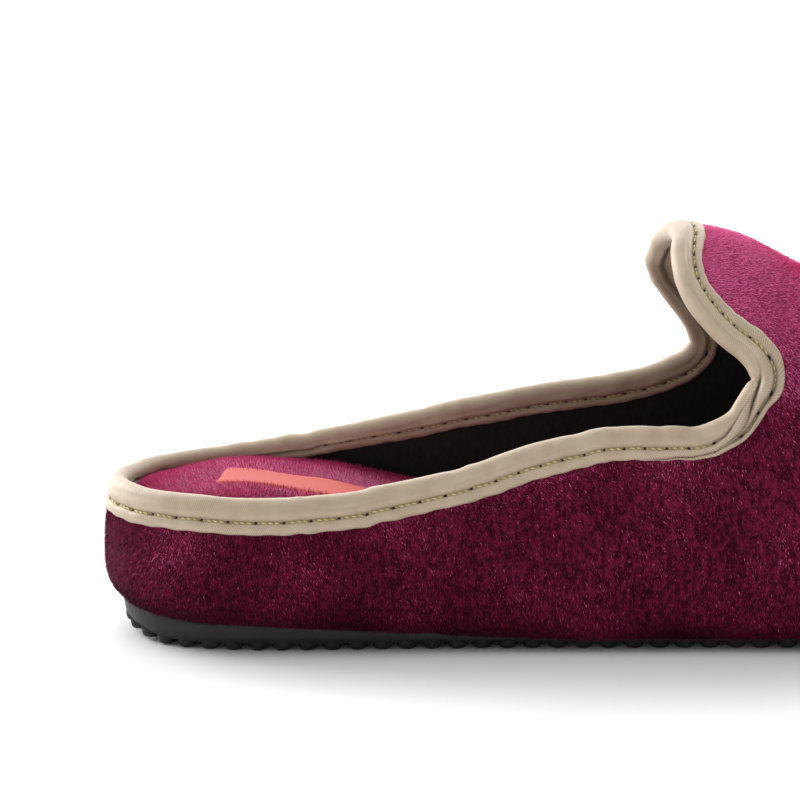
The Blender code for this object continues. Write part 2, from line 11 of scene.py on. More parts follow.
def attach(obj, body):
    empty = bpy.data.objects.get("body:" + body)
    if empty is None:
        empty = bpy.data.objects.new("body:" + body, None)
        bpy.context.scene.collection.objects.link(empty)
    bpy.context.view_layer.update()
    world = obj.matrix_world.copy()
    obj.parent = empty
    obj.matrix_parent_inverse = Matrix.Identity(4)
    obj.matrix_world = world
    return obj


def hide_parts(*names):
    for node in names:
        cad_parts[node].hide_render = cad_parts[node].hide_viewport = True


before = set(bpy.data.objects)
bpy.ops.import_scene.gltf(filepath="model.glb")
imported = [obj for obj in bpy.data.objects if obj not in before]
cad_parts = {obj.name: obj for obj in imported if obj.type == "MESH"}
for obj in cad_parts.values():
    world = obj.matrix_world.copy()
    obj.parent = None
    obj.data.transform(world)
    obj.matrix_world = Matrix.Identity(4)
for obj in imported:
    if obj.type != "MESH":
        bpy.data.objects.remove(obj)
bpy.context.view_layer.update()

# Upper
# A velvet shell drawn over the last, in one run from the low heel wall to the closed vamp, with thin foam
# behind it and a black woven lining inside. Its lower edge is tucked in and glued on the sole.
MM = 0.001


class Socket:
    """A node's output, with arithmetic that adds Math nodes."""

    def __init__(self, tree, output):
        self.tree = tree
        self.output = output

    def node(self, kind, inputs=(), output=0, **settings):
        """Any other node: its settings are set first, then its sockets' values or links."""
        made = self.tree.nodes.new(kind)
        for name, value in settings.items():
            setattr(made, name, value)
        for name, value in dict(inputs).items():
            if isinstance(value, Socket):
                self.tree.links.new(value.output, made.inputs[name])
            else:
                made.inputs[name].default_value = value
        return Socket(self.tree, made.outputs[output])

    def maths(self, operation, *values):
        return self.node("ShaderNodeMath", enumerate(values), operation=operation)

    def __add__(self, other):
        return self.maths("ADD", self, other)

    def __radd__(self, other):
        return self.maths("ADD", other, self)

    def __sub__(self, other):
        return self.maths("SUBTRACT", self, other)

    def __rsub__(self, other):
        return self.maths("SUBTRACT", other, self)

    def __mul__(self, other):
        return self.maths("MULTIPLY", self, other)

    def __rmul__(self, other):
        return self.maths("MULTIPLY", other, self)

    def __truediv__(self, other):
        return self.maths("DIVIDE", self, other)

    def __rtruediv__(self, other):
        return self.maths("DIVIDE", other, self)

    def __pow__(self, other):
        return self.maths("POWER", self, other)

    def __rpow__(self, other):
        return self.maths("POWER", other, self)

    def axis(self, letter):
        return self.node("ShaderNodeSeparateXYZ", {"Vector": self}, output=letter)

    def ramp(self, low, high):
        """0 up to low, 1 from high on, and smooth between."""
        inputs = {"Value": self, "From Min": low, "From Max": high}
        return self.node("ShaderNodeMapRange", inputs, interpolation_type="SMOOTHSTEP")

    def between(self, first, second):
        """A mix of two colours, this value being the share of the second."""
        inputs = {0: self}
        for place, colour in ((6, first), (7, second)):
            inputs[place] = colour if isinstance(colour, Socket) else (*colour, 1.0)
        return self.node("ShaderNodeMix", inputs, output=2, data_type="RGBA")


def finish(title, roughness, colour, **numbers):
    """A new material, its one Principled shader, and its Object coordinates for more nodes."""
    made = bpy.data.materials.new(title)
    made.use_nodes = True
    made.diffuse_color = (*colour, 1.0)
    shader = made.node_tree.nodes["Principled BSDF"]
    shader.inputs["Base Color"].default_value = (*colour, 1.0)
    shader.inputs["Roughness"].default_value = roughness
    for words, value in numbers.items():
        name = words.replace("_", " ").title().replace("Ior", "IOR")
        shader.inputs[name].default_value = value
    tree = made.node_tree
    place = Socket(tree, tree.nodes.new("ShaderNodeTexCoord").outputs["Object"])
    return made, shader, place


def feed(shader, name, socket):
    socket.tree.links.new(socket.output, shader.inputs[name])


def clouds(place, scale, detail=2.0, roughness=0.5, stretch=(1.0, 1.0, 1.0)):
    """Noise from 0 to 1 with features of about one over scale metres."""
    moved = place.node("ShaderNodeMapping", {"Vector": place, "Scale": stretch})
    inputs = {"Vector": moved, "Scale": scale, "Detail": detail, "Roughness": roughness}
    return place.node("ShaderNodeTexNoise", inputs)


def relief(place, height, strength, distance):
    inputs = {"Height": height, "Strength": strength, "Distance": distance}
    return place.node("ShaderNodeBump", inputs)


def cad_copy(node):
    """A merged copy of a CAD node's mesh, with its triangles joined into quads again."""
    mesh = bmesh.new()
    mesh.from_mesh(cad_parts[node].data)
    bmesh.ops.remove_doubles(mesh, verts=mesh.verts, dist=0.002 * MM)
    bmesh.ops.join_triangles(
        mesh, faces=mesh.faces, angle_face_threshold=math.pi, angle_shape_threshold=math.pi,
    )
    return mesh


def as_object(name, mesh, *finishes):
    """A smooth-shaded piece made of a bmesh, with its materials in order."""
    data = bpy.data.meshes.new(name)
    mesh.to_mesh(data)
    mesh.free()
    data.shade_smooth()
    for made in finishes:
        data.materials.append(made)
    item = bpy.data.objects.new(name, data)
    bpy.context.scene.collection.objects.link(item)
    return item


def subdivided(mesh, levels):
    """The bmesh after Subdivision Surface, as a new bmesh."""
    item = as_object("draft", mesh)
    smooth = item.modifiers.new("smooth", "SUBSURF")
    smooth.levels = levels
    smooth.render_levels = levels
    bpy.context.view_layer.update()
    result = bmesh.new()
    result.from_object(item, bpy.context.evaluated_depsgraph_get())
    data = item.data
    bpy.data.objects.remove(item)
    bpy.data.meshes.remove(data)
    return result


def tree_of(mesh, kind):
    """What finds the nearest point on the faces of a bmesh that hold the given material."""
    mesh.verts.index_update()
    points = [vert.co.copy() for vert in mesh.verts]
    faces = [face for face in mesh.faces if face.material_index == kind]
    return BVHTree.FromPolygons(points, [[vert.index for vert in face.verts] for face in faces])


def bell(away, reach):
    """1 at the middle, and smoothly down to 0 well past the reach."""
    return np.exp(-((away / reach) ** 2))


def waves(place, *swells):
    """Soft noise at a place, as a sum of swells that each have a height and a size."""
    return sum(height * noise.noise(place / size) for height, size in swells)


VELVET_FACE, LINING_FACE, RIM_FACE = 0, 1, 2
WALL = 2.0 * MM
RIM_WIDTH = 1.3 * WALL
SHARP = math.radians(62)
RIM_CREASE = 0.7
shell = cad_copy("upper")
for face in shell.faces:
    face.material_index = LINING_FACE
outermost = max(shell.faces, key=lambda face: face.calc_center_median().y * face.normal.y)
outermost.material_index = VELVET_FACE
front = [outermost]
while front:
    for edge in front.pop().edges:
        if len(edge.link_faces) == 2 and edge.calc_face_angle() < SHARP:
            for other in edge.link_faces:
                if other.material_index != VELVET_FACE:
                    other.material_index = VELVET_FACE
                    front.append(other)
for face in shell.faces:
    narrow = min(edge.calc_length() for edge in face.edges) < RIM_WIDTH
    borders = {other.material_index for edge in face.edges for other in edge.link_faces}
    if face.material_index == LINING_FACE and narrow and VELVET_FACE in borders:
        face.material_index = RIM_FACE
crease = shell.edges.layers.float.new("crease_edge")
for edge in shell.edges:
    if len({face.material_index for face in edge.link_faces}) == 2:
        edge[crease] = RIM_CREASE
shell = subdivided(shell, 2)

# The throat corners run a little further to the toe than the frame's wall, in a tight turn, and the
# tongue's inner shoulder leans back to the heel
PULLS = (
    # x, y, z, way to the toe, way up, reach, in millimetres
    (23.5, -34.0, 64.0, 3.5, 0.4, 10.5),
    (26.5, -36.0, 57.5, -1.5, 0.4, 5.0),
    (15.0, 32.0, 62.0, 1.8, 0.2, 8.5),
    (9.6, 14.0, 87.5, -1.1, 0.0, 7.5),
    (10.8, 19.5, 80.5, -3.0, 0.1, 10.0),
    (10.5, -9.0, 92.0, 1.1, 0.0, 9.0),
    (25.0, -4.0, 90.0, 0.0, 1.2, 11.0),
)
for vert in shell.verts:
    for x, y, z, push, lift, reach in PULLS:
        away = (vert.co / MM - Vector((x, y, z))).length
        vert.co += Vector((push, 0.0, lift)) * MM * bell(away, reach)
shell.normal_update()

# Soft troughs that the hand has left, from point to point in the row frame
TROUGHS = (
    # x1, y1, z1, x2, y2, z2, depth, width, in millimetres
    (36.0, -38.0, 50.0, 58.0, -39.0, 40.0, 0.9, 4.0),
    (30.0, -42.0, 34.0, 47.0, -46.0, 24.0, 0.5, 4.5),
    (30.0, -24.0, 78.0, 52.0, -24.0, 68.0, 0.5, 5.0),
    (34.0, 42.0, 46.0, 56.0, 43.0, 34.0, 0.8, 4.5),
    (-40.0, -36.0, 20.0, -20.0, -40.0, 15.0, 0.4, 5.0),
    (-78.0, -32.0, 24.0, -62.0, -34.0, 17.0, 0.4, 4.0),
    (58.0, -24.0, 58.0, 62.0, 26.0, 56.0, 0.7, 4.5),
    (70.0, -22.0, 50.0, 73.0, 26.0, 48.0, 0.5, 4.0),
)
for vert in shell.verts:
    place = vert.co / MM
    sunk = 0.0
    for x1, y1, z1, x2, y2, z2, depth, width in TROUGHS:
        first, second = Vector((x1, y1, z1)), Vector((x2, y2, z2))
        along = second - first
        share = min(max((place - first).dot(along) / along.length_squared, 0.0), 1.0)
        away = (place - first - share * along).length
        shallow_ends = math.sin(math.pi * (0.15 + 0.7 * share))
        sunk += depth * bell(away, width) * shallow_ends
    drift = waves(place, (0.35, 22.0), (0.18, 9.0))
    out = vert.normal if vert.link_faces[0].material_index == VELVET_FACE else -vert.normal
    vert.co += out * (drift - sunk) * MM
outside = tree_of(shell, VELVET_FACE)
inside = tree_of(shell, LINING_FACE)


def rings_between(mesh, kind, other):
    """The closed rings where faces of two materials meet, each as its points in order, the lowest first."""
    ahead = {}
    for edge in mesh.edges:
        if {face.material_index for face in edge.link_faces} == {kind, other}:
            first, second = edge.verts
            ahead.setdefault(first, []).append(second)
            ahead.setdefault(second, []).append(first)
    rings = []
    while ahead:
        vert = next(iter(ahead))
        ring = []
        while vert is not None:
            ring.append(vert.co.copy())
            vert = next((found for found in ahead.pop(vert) if found in ahead), None)
        rings.append(np.array(ring))
    return sorted(rings, key=lambda ring: ring[:, 2].mean())


foot_ring, top_ring = rings_between(shell, VELVET_FACE, RIM_FACE)

# The cloth's colours seen between the tufts: in shade, where brushed and lit from above, and a painted top
# light
VELVET_SHADE, VELVET_BRUSHED_AND_TOP_LIT = (0.030, 0.0004, 0.006), (0.26, 0.016, 0.066)
VELVET_PAINTED_TOP_LIGHT = (0.44, 0.052, 0.18)
velvet, shader, place = finish(
    "burgundy_velvet", 0.9, (0.10, 0.004, 0.025), specular_ior_level=0.1,
    sheen_weight=0.5, sheen_roughness=0.4, sheen_tint=(1.0, 0.22, 0.42, 1.0),
)
# Painted light: the cloth's colour is lighter where it faces up, as if lit from above, and darker on its
# sides
up = place.node("ShaderNodeNewGeometry", output="Normal").axis("Z")
fibres = clouds(place, scale=900.0, detail=3.0, roughness=0.65, stretch=(1.0, 1.0, 0.55))
patches = clouds(place, scale=70.0, detail=3.0, roughness=0.55)
# brushed holds the brushed patches and painted light from above, rising where the cloth faces up
brushed = (patches - 0.5) * 1.1 + up.ramp(-0.1, 1.0) * 1.2
light = (fibres.ramp(0.34, 0.66) * 0.55 + brushed * 0.45).ramp(0.0, 1.0)
from_the_side = light.between(VELVET_SHADE, VELVET_BRUSHED_AND_TOP_LIT)
feed(shader, "Base Color", (up.ramp(0.2, 0.9) * 0.8).between(from_the_side, VELVET_PAINTED_TOP_LIGHT))
feed(shader, "Normal", relief(place, fibres, strength=0.9, distance=0.5 * MM))

lining, shader, place = finish("black_lining", 0.85, (0.012, 0.012, 0.012), specular_ior_level=0.25)
threads = clouds(place, scale=1300.0, roughness=0.6, stretch=(1.0, 1.0, 0.35))
feed(shader, "Base Color", threads.between((0.006, 0.006, 0.006), (0.030, 0.030, 0.031)))
feed(shader, "Normal", relief(place, threads, strength=0.6, distance=0.2 * MM))

sheet = shell.copy()
for face in shell.faces:
    face.material_index = 0 if face.material_index == VELVET_FACE else 1
upper = as_object("upper_shell", shell, velvet, lining)
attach(upper, "root")
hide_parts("upper")

# Velvet pile of the upper
# The short cut pile of the same cloth, about a millimetre long. It leans to the sole and to the toe, and
# a hand or a finger has brushed it into lighter and darker patches.
PILE_LEVELS = 2
ROOT_DEPTH = 0.12 * MM
# How far a blade stands up, leans with the nap and is brushed aside, and how much its way and turn differ
STAND, LEAN, BRUSHED_LEAN, STRAY, TURN = 0.55, 0.9, 0.75, 0.20, 0.30
SHORTEST, LONGER = 0.65, 0.6
# Sizes of what a hand has brushed, of lighter patches, of locks and of clumps, as waves to a metre
BRUSHED_SCALE, PATCH_SCALE, LOCK_SCALE, CLUMP_SCALE = 38.0, 55.0, 900.0, 3400.0
# How much each of them, facing up (painted light from above) and chance count for a blade's shade
TONE_BASE, TONE_PATCH, TONE_LOCK, TONE_CLUMP, TONE_CHANCE = 0.35, 0.26, 0.06, 0.25, 0.16
DRAWN_OUT = 0.50


def unit(vectors):
    return vectors / np.linalg.norm(vectors, axis=1)[:, None]


def flattened(vectors, normals):
    """The vectors without what runs along the normals."""
    return vectors - normals * (normals * vectors).sum(axis=1)[:, None]


def noise_at(points, scale):
    return np.array([noise.noise(Vector(point) * scale) for point in points])


def cloth_triangles(sheet, keep):
    """The sheet's kept faces divided fine, as a mesh, and each triangle's corners and normal."""
    bmesh.ops.delete(sheet, geom=[face for face in sheet.faces if not keep(face)], context="FACES")
    for _ in range(PILE_LEVELS):
        bmesh.ops.subdivide_edges(sheet, edges=sheet.edges, cuts=1, use_grid_fill=True)
    bmesh.ops.triangulate(sheet, faces=sheet.faces)
    sheet.normal_update()
    data = bpy.data.meshes.new("draft")
    sheet.to_mesh(data)
    sheet.free()
    corners = np.zeros(len(data.polygons) * 3, np.int32)
    data.polygons.foreach_get("vertices", corners)
    found = []
    for name in ("co", "normal"):
        values = np.zeros(len(data.vertices) * 3)
        data.vertices.foreach_get(name, values)
        found.append(values.reshape(-1, 3)[corners.reshape(-1, 3)])
    return data, found[0], found[1].mean(axis=1)


def blades_on(corners, out, length, breadth, nap, draws):
    """A root at a chance place on each triangle, and a pointed blade there."""
    count = len(corners)
    weights = draws.dirichlet((1.0, 1.0, 1.0), count)
    root = (corners * weights[:, :, None]).sum(axis=1)
    brushed = np.array([noise.noise_vector(Vector(point) * BRUSHED_SCALE) for point in root])
    lean = flattened(nap + brushed * BRUSHED_LEAN, out)
    along = unit(out * STAND + lean * LEAN + draws.normal(0.0, STRAY, (count, 3)))
    across = unit(flattened(np.cross(along, out) + draws.normal(0.0, TURN, (count, 3)), along))
    long = length * (SHORTEST + LONGER * draws.random(count))[:, None]
    low = root - out * ROOT_DEPTH
    half = across * breadth / 2
    return root, np.stack((low - half, low + half, root + along * long), axis=1)


def shades_of(root, out, nap, count, draws):
    """Which of the shades each blade has: lighter where it faces up and darker where it faces down, as
    painted light from above. Patterns along the nap are drawn out to twice their length.
    """
    flow = nap / np.linalg.norm(nap)
    drawn_out = root - DRAWN_OUT * flow * (root @ flow)[:, None]
    # Painted light from above: blades that face up take lighter shades, those that face down darker ones
    painted_light_from_above = np.maximum(out[:, 2], 0.0) ** 1.2 - 0.3 * np.maximum(-out[:, 2], 0.0)
    tone = TONE_BASE + painted_light_from_above + TONE_PATCH * noise_at(root, PATCH_SCALE)
    tone += TONE_LOCK * noise_at(drawn_out, LOCK_SCALE)
    tone += TONE_CLUMP * noise_at(drawn_out, CLUMP_SCALE) * (1 + 1.2 * painted_light_from_above)
    tone += draws.normal(0.0, TONE_CHANCE, len(root))
    return (np.clip(tone, 0.0, 0.999) * count).astype(np.int32)


def cut_pile(names, sheet, finishes, keep, length, breadth, nap, seed):
    """Pile as pieces from heel to toe: the sheet's triangles are split, and each is made a blade."""
    draws = np.random.default_rng(seed)
    # Without a seed of its own, noise_vector differs from run to run
    noise.seed_set(seed)
    nap = np.array(nap)
    data, corners, out = cloth_triangles(sheet, keep)
    root, blades = blades_on(corners, out, length, breadth, nap, draws)
    shades = shades_of(root, out, nap, len(finishes), draws)
    made = []
    for name, share in zip(names, np.array_split(np.argsort(root[:, 0]), len(names))):
        chosen = set(share.tolist())
        part = bmesh.new()
        part.from_mesh(data)
        part.faces.ensure_lookup_table()
        others = [face for face in part.faces if face.index not in chosen]
        bmesh.ops.delete(part, geom=others, context="FACES")
        bmesh.ops.split_edges(part, edges=part.edges)
        piece = bpy.data.meshes.new(name)
        part.to_mesh(piece)
        part.free()
        order = np.zeros(len(piece.polygons) * 3, np.int32)
        piece.polygons.foreach_get("vertices", order)
        kept = np.sort(share)
        placed = np.zeros((len(piece.vertices), 3))
        placed[order] = blades[kept].reshape(-1, 3)
        piece.vertices.foreach_set("co", placed.ravel())
        piece.polygons.foreach_set("material_index", shades[kept])
        for material in finishes:
            piece.materials.append(material)
        piece.update()
        item = bpy.data.objects.new(name, piece)
        bpy.context.scene.collection.objects.link(item)
        made.append(item)
    bpy.data.meshes.remove(data)
    return made


def pile_finishes(name, colours):
    """A material for each shade of the pile, the lighter ones with more sheen."""
    made = []
    for k, colour in enumerate(colours):
        made.append(finish(
            f"{name}_{k + 1}", 0.8, colour, specular_ior_level=0.10,
            sheen_weight=0.15 + 0.07 * k, sheen_roughness=0.4, sheen_tint=(1.0, 0.30, 0.52, 1.0),
        )[0])
    return made


edge_points = KDTree(len(top_ring))
for k, point in enumerate(top_ring):
    edge_points.insert(point, k)
edge_points.balance()


def under_the_strip(face):
    """True where the binding will cover the cloth, which is wider at the heel than at the throat."""
    place = face.calc_center_median()
    cover = 4.9 + 1.6 * min(max((10 - place.x / MM) / 80, 0.0), 1.0)
    return edge_points.find(place)[2] < cover * MM


# The lightest shades are painted light, taken by blades that face up
burgundy_pile = pile_finishes("burgundy_pile", (
    (0.028, 0.0004, 0.005), (0.060, 0.0012, 0.012), (0.110, 0.0030, 0.024), (0.185, 0.0085, 0.046),
    (0.310, 0.0250, 0.090), (0.560, 0.0740, 0.220), (0.900, 0.2050, 0.460),
))
for pile in cut_pile(
    ("upper_pile_heel", "upper_pile_sides", "upper_pile_toe"), sheet, burgundy_pile,
    keep=lambda face: face.material_index == VELVET_FACE and not under_the_strip(face),
    length=1.0 * MM, breadth=0.21 * MM, nap=(0.35, 0.0, -0.8), seed=11,
):
    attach(pile, "root")

# Binding
# A bias strip of beige satin, folded over the raw top edge of the upper all the way round, with its own
# edges folded under. One row of thread holds both legs, and at the throat corners the strip is pleated.


def smoothed(values, reach):
    """The closed row of values, each averaged with its neighbours up to reach places away."""
    total = sum(np.roll(values, k, axis=0) for k in range(-reach, reach + 1))
    return total / (2 * reach + 1)


def gaps_of(points):
    return np.linalg.norm(np.roll(points, -1, axis=0) - points, axis=1)


def resampled(points, weights, count):
    """The closed row at equal steps of its weights."""
    reach = np.concatenate(([0.0], np.cumsum(weights)))
    closed = np.vstack((points, points[:1]))
    wanted = np.arange(count) * reach[-1] / count
    return np.stack([np.interp(wanted, reach, column) for column in closed.T], axis=1)


def nearest(tree, points):
    found = [tree.find_nearest(Vector(point)) for point in points]
    return np.array([hit[0] for hit in found]), np.array([hit[1] for hit in found])


def edge_frames(points):
    """For each edge point: out of the velvet, and down the cloth away from the edge."""
    feeler = 4 * MM
    along = unit(np.roll(points, -1, axis=0) - np.roll(points, 1, axis=0))
    _, out = nearest(outside, points)
    down = unit(np.cross(out, along))
    misses = []
    for way in (down, -down):
        felt = points + way * feeler
        misses.append(np.linalg.norm(nearest(outside, felt)[0] - felt, axis=1).sum())
    if misses[0] > misses[1]:
        down = -down
    _, out = nearest(outside, points + down * 3 * MM)
    out = unit(smoothed(out, 3))
    return out, unit(smoothed(unit(flattened(down, out)), 3))


# The strip's lip fans out where the edge turns, so the steps along the edge are shorter there
DRAFT_POINTS = 1900
FAN_REACH = 5.5 * MM
STRIP_STEP = 0.85 * MM
edge = smoothed(smoothed(resampled(top_ring, gaps_of(top_ring), DRAFT_POINTS), 3), 2)
out, down = edge_frames(edge)
weights = gaps_of(edge) + FAN_REACH * gaps_of(down)
edge = resampled(edge, weights, int(weights.sum() / STRIP_STEP))
out, down = edge_frames(edge)

# How the strip lies, by the way along the edge from the tip of the nearer throat corner: above 0 to the
# tongue, below 0 to the heel. Depths run down the cloth from its edge. The lip is the deepest, then come
# the stitches of the vamp's part, the crease between both parts, and the fold, which has the stitches of
# the quarter's part. The swells are those of the lip, the vamp's end, the quarter's fold and the face.
STATIONS = (
    # way, lip, stitches, crease, fold, swells 1 to 4, floors at the crease and the fold, in millimetres
    (-112.0, 7.2, 6.4, 5.7, 4.35, 0.9, 0.0, 0.0, 0.75, 0.0, 0.3),
    (-60.0, 6.9, 6.1, 5.5, 4.05, 0.9, 0.0, 0.0, 0.75, 0.0, 0.3),
    (-36.0, 6.5, 5.8, 5.2, 3.75, 0.9, 0.0, 0.0, 0.75, 0.0, 0.3),
    (-29.0, 6.4, 6.15, 6.0, 3.70, 0.3, 0.0, 0.9, 0.75, 0.2, 0.3),
    (-24.0, 6.3, 5.75, 5.6, 3.70, 0.5, 0.0, 0.9, 0.75, 0.1, 0.3),
    (-20.0, 6.3, 5.45, 5.25, 3.70, 0.65, 0.0, 0.95, 0.8, 0.1, 0.3),
    (-17.0, 6.3, 5.3, 5.0, 3.50, 0.8, 0.1, 1.1, 0.8, 0.05, 0.25),
    (-14.6, 6.3, 5.1, 4.5, 2.90, 0.9, 0.15, 1.3, 0.7, 0.05, 0.25),
    (-12.8, 6.1, 4.8, 3.9, 1.80, 1.0, 0.35, 1.5, 0.5, 0.05, 0.4),
    (-11.0, 5.9, 4.5, 3.4, 1.00, 1.05, 0.6, 1.25, 0.2, 0.05, 0.8),
    (-9.0, 5.8, 4.3, 2.8, 0.78, 1.1, 1.0, 0.85, 0.0, 0.05, 1.2),
    (-6.5, 5.8, 4.3, 2.2, 0.78, 1.1, 1.5, 0.65, 0.0, 0.05, 1.3),
    (-4.7, 5.9, 4.3, 1.75, 0.78, 1.1, 2.0, 0.50, 0.0, 0.05, 1.3),
    (-3.3, 6.2, 4.4, 1.30, 0.78, 1.1, 2.3, 0.35, 0.0, 0.05, 1.3),
    (-2.3, 6.4, 4.35, 1.00, 0.78, 1.0, 2.3, 0.1, 0.0, 0.05, 1.15),
    (-1.4, 6.5, 4.3, 0.90, 0.78, 0.9, 1.9, 0.05, 0.0, 0.4, 0.9),
    (-0.4, 6.6, 4.2, 0.90, 0.78, 0.9, 1.3, 0.05, 0.0, 1.2, 1.25),
    (0.8, 6.6, 4.1, 1.05, 0.78, 0.9, 1.1, 0.05, 0.0, 1.2, 1.3),
    (3.0, 6.9, 3.8, 1.9, 1.3, 0.9, 0.9, 0.0, 0.0, 1.3, 1.3),
    (7.0, 7.0, 3.4, 1.9, 1.3, 0.9, 0.9, 0.0, 0.0, 1.3, 1.3),
    (14.0, 6.3, 3.3, 1.9, 1.3, 0.85, 0.9, 0.0, 0.0, 1.3, 1.3),
    (25.0, 5.7, 3.4, 1.9, 1.3, 0.8, 0.9, 0.0, 0.0, 1.3, 1.3),
    (35.0, 5.6, 3.5, 1.9, 1.3, 0.8, 0.9, 0.0, 0.0, 1.3, 1.3),
    (48.0, 6.6, 4.2, 2.1, 1.4, 0.8, 0.9, 0.0, 0.0, 1.3, 1.3),
)
# Where the strip's turn over the edge starts, how high it stands off the cloth there, how deep it lies
# fully on the cloth, and the turn's radius, in millimetres
TURN_DEPTH, TURN_HEIGHT, ON_THE_CLOTH = 0.7, 1.3, 2.6
TURN_RADIUS = WALL / MM / 2 + TURN_HEIGHT
TURN_STEPS = 9
CORNER_PITCH, TONGUE_PITCH, HEEL_PITCH = 4.9 * MM, 4.0 * MM, 6.3 * MM
# How the face of the strip rises from its stitches to the turn, and where its crown is
FACE_STEEP, FACE_ROUND, FACE_CROWN, CROWN_LEAN = 2.2, 0.62, 0.45, 0.85
# Its height at the lip, at the stitches, and at the stitches where it is pleated, in millimetres
LIP_FLOOR, SEAM_FLOOR, PLEAT_FLOOR = 0.05, 0.12, 0.15
# The corner's tips are the points of the edge nearest to the toe, past this side and under this height
TIP_SIDE, TIP_TOP = 20 * MM, 72 * MM


def eased(values, low, high):
    share = np.clip((values - low) / (high - low), 0.0, 1.0)
    return share * share * (3 - 2 * share)


def spell(values, start, full, fade, end):
    """0 up to start, 1 from full to fade, and 0 again from end on."""
    return eased(values, start, full) * (1 - eased(values, fade, end))


def wander(points, size, seed):
    return np.array([noise.noise(Vector(point) / size + Vector((seed, 0, 0))) for point in points])


def swell(share, low, high, crown, power):
    """The height over a stretch of the strip between two floors, with a crown of the given height."""
    return low + (high - low) * share + crown * (4 * share * (1 - share)) ** power


def face_of(share, low, crown):
    """The height from the stitches to the turn over the edge, level with the turn at its end."""
    rise = (1 - (1 - share) ** FACE_STEEP) ** FACE_ROUND
    round_top = np.sin(math.pi * share ** CROWN_LEAN) ** 2
    return low + (TURN_HEIGHT - low) * rise + FACE_CROWN * crown * round_top


# The row of points runs from the heel along the outer side, over the tongue and back along the inner side
arc = np.concatenate(([0.0], np.cumsum(gaps_of(edge))))
tips = [
    int(np.argmax(np.where((edge[:, 1] * side > TIP_SIDE) & (edge[:, 2] < TIP_TOP), edge[:, 0], -1.0)))
    for side in (-1, 1)
]
tongue = (arc[tips[0]] + arc[tips[1]]) / 2
way = np.where(arc[:-1] < tongue, arc[:-1] - arc[tips[0]], arc[tips[1]] - arc[:-1]) / MM
table = np.array(STATIONS)
columns = [np.interp(way, table[:, 0], column) for column in table.T[1:]]
lip, seam, crease, fold, lip_crown, end_crown, fold_crown, face_crown, crease_floor, fold_floor = columns
vamp_part = eased(way, -0.8, 3.0)[:, None]
quarter_part = 1 - eased(way, -34.0, -28.0)[:, None]
pitches = CORNER_PITCH + (HEEL_PITCH - CORNER_PITCH) * eased(-way, 30.0, 100.0)
pitches += (TONGUE_PITCH - CORNER_PITCH) * eased(way, 5.0, 18.0)
beats = np.concatenate(([0.0], np.cumsum(gaps_of(edge) / pitches)))
stitches = round(beats[-1])
beats *= stitches / beats[-1]
beat = np.cos(2 * math.pi * beats[:-1])

level = np.zeros(len(way))
SWELLS = (
    # from, to, rows, floor at each end, crown, power
    (lip, seam, 6, level + LIP_FLOOR, level + PLEAT_FLOOR, lip_crown, 0.4),
    (seam, crease, 7, level + PLEAT_FLOOR, crease_floor, end_crown, 0.5),
    (crease, fold, 6, crease_floor, fold_floor, fold_crown, 0.45),
)
FACE_ROWS = 7
depths, heights = [], []
for first, second, count, low, high, crown, power in SWELLS:
    for share in np.arange(count) / count:
        depths.append(first + (second - first) * share)
        heights.append(swell(share, low, high, crown, power))
for share in np.arange(FACE_ROWS) / FACE_ROWS:
    depths.append(fold + (TURN_DEPTH - fold) * share)
    heights.append(face_of(share, fold_floor, face_crown))
depths, heights = np.array(depths).T, np.array(heights).T


def laid(tree, base, outward, depth, height):
    """The strip's points at a depth and a height, off the cloth's plane at its edge and off the cloth
    itself further down."""
    plane = base + down * (depth * MM)[:, None]
    hit, normal = nearest(tree, plane)
    share = eased(depth, TURN_DEPTH, ON_THE_CLOTH)[:, None]
    point = plane + (smoothed(hit, 1) - plane) * share
    normal = unit(outward + (unit(smoothed(normal, 2)) - outward) * share)
    return point + normal * (height * MM)[:, None]


def plain_strip(depths, lip, seam, lip_crown, face_crown):
    """The heights where the strip has no pleat: a lip, its stitches and the face over them."""
    lip, seam = lip[:, None], seam[:, None]
    on_lip = np.clip((lip - depths) / (lip - seam), 0.0, 1.0)
    on_face = np.clip((seam - depths) / (seam - TURN_DEPTH), 0.0, 1.0)
    low = swell(on_lip, LIP_FLOOR, SEAM_FLOOR, lip_crown, 0.5)
    return np.where(depths > seam, low, face_of(on_face, SEAM_FLOOR, face_crown))


def within(values, reach):
    """How far the values are above 0, as a share of the reach."""
    return np.clip(values / reach, 0.0, 1.0)


heights = (
    plain_strip(depths, lip, seam, 1.05, 0.95) * vamp_part
    + plain_strip(depths, lip, fold, 1.10, 0.85) * quarter_part
    + heights * (1 - vamp_part) * (1 - quarter_part)
)
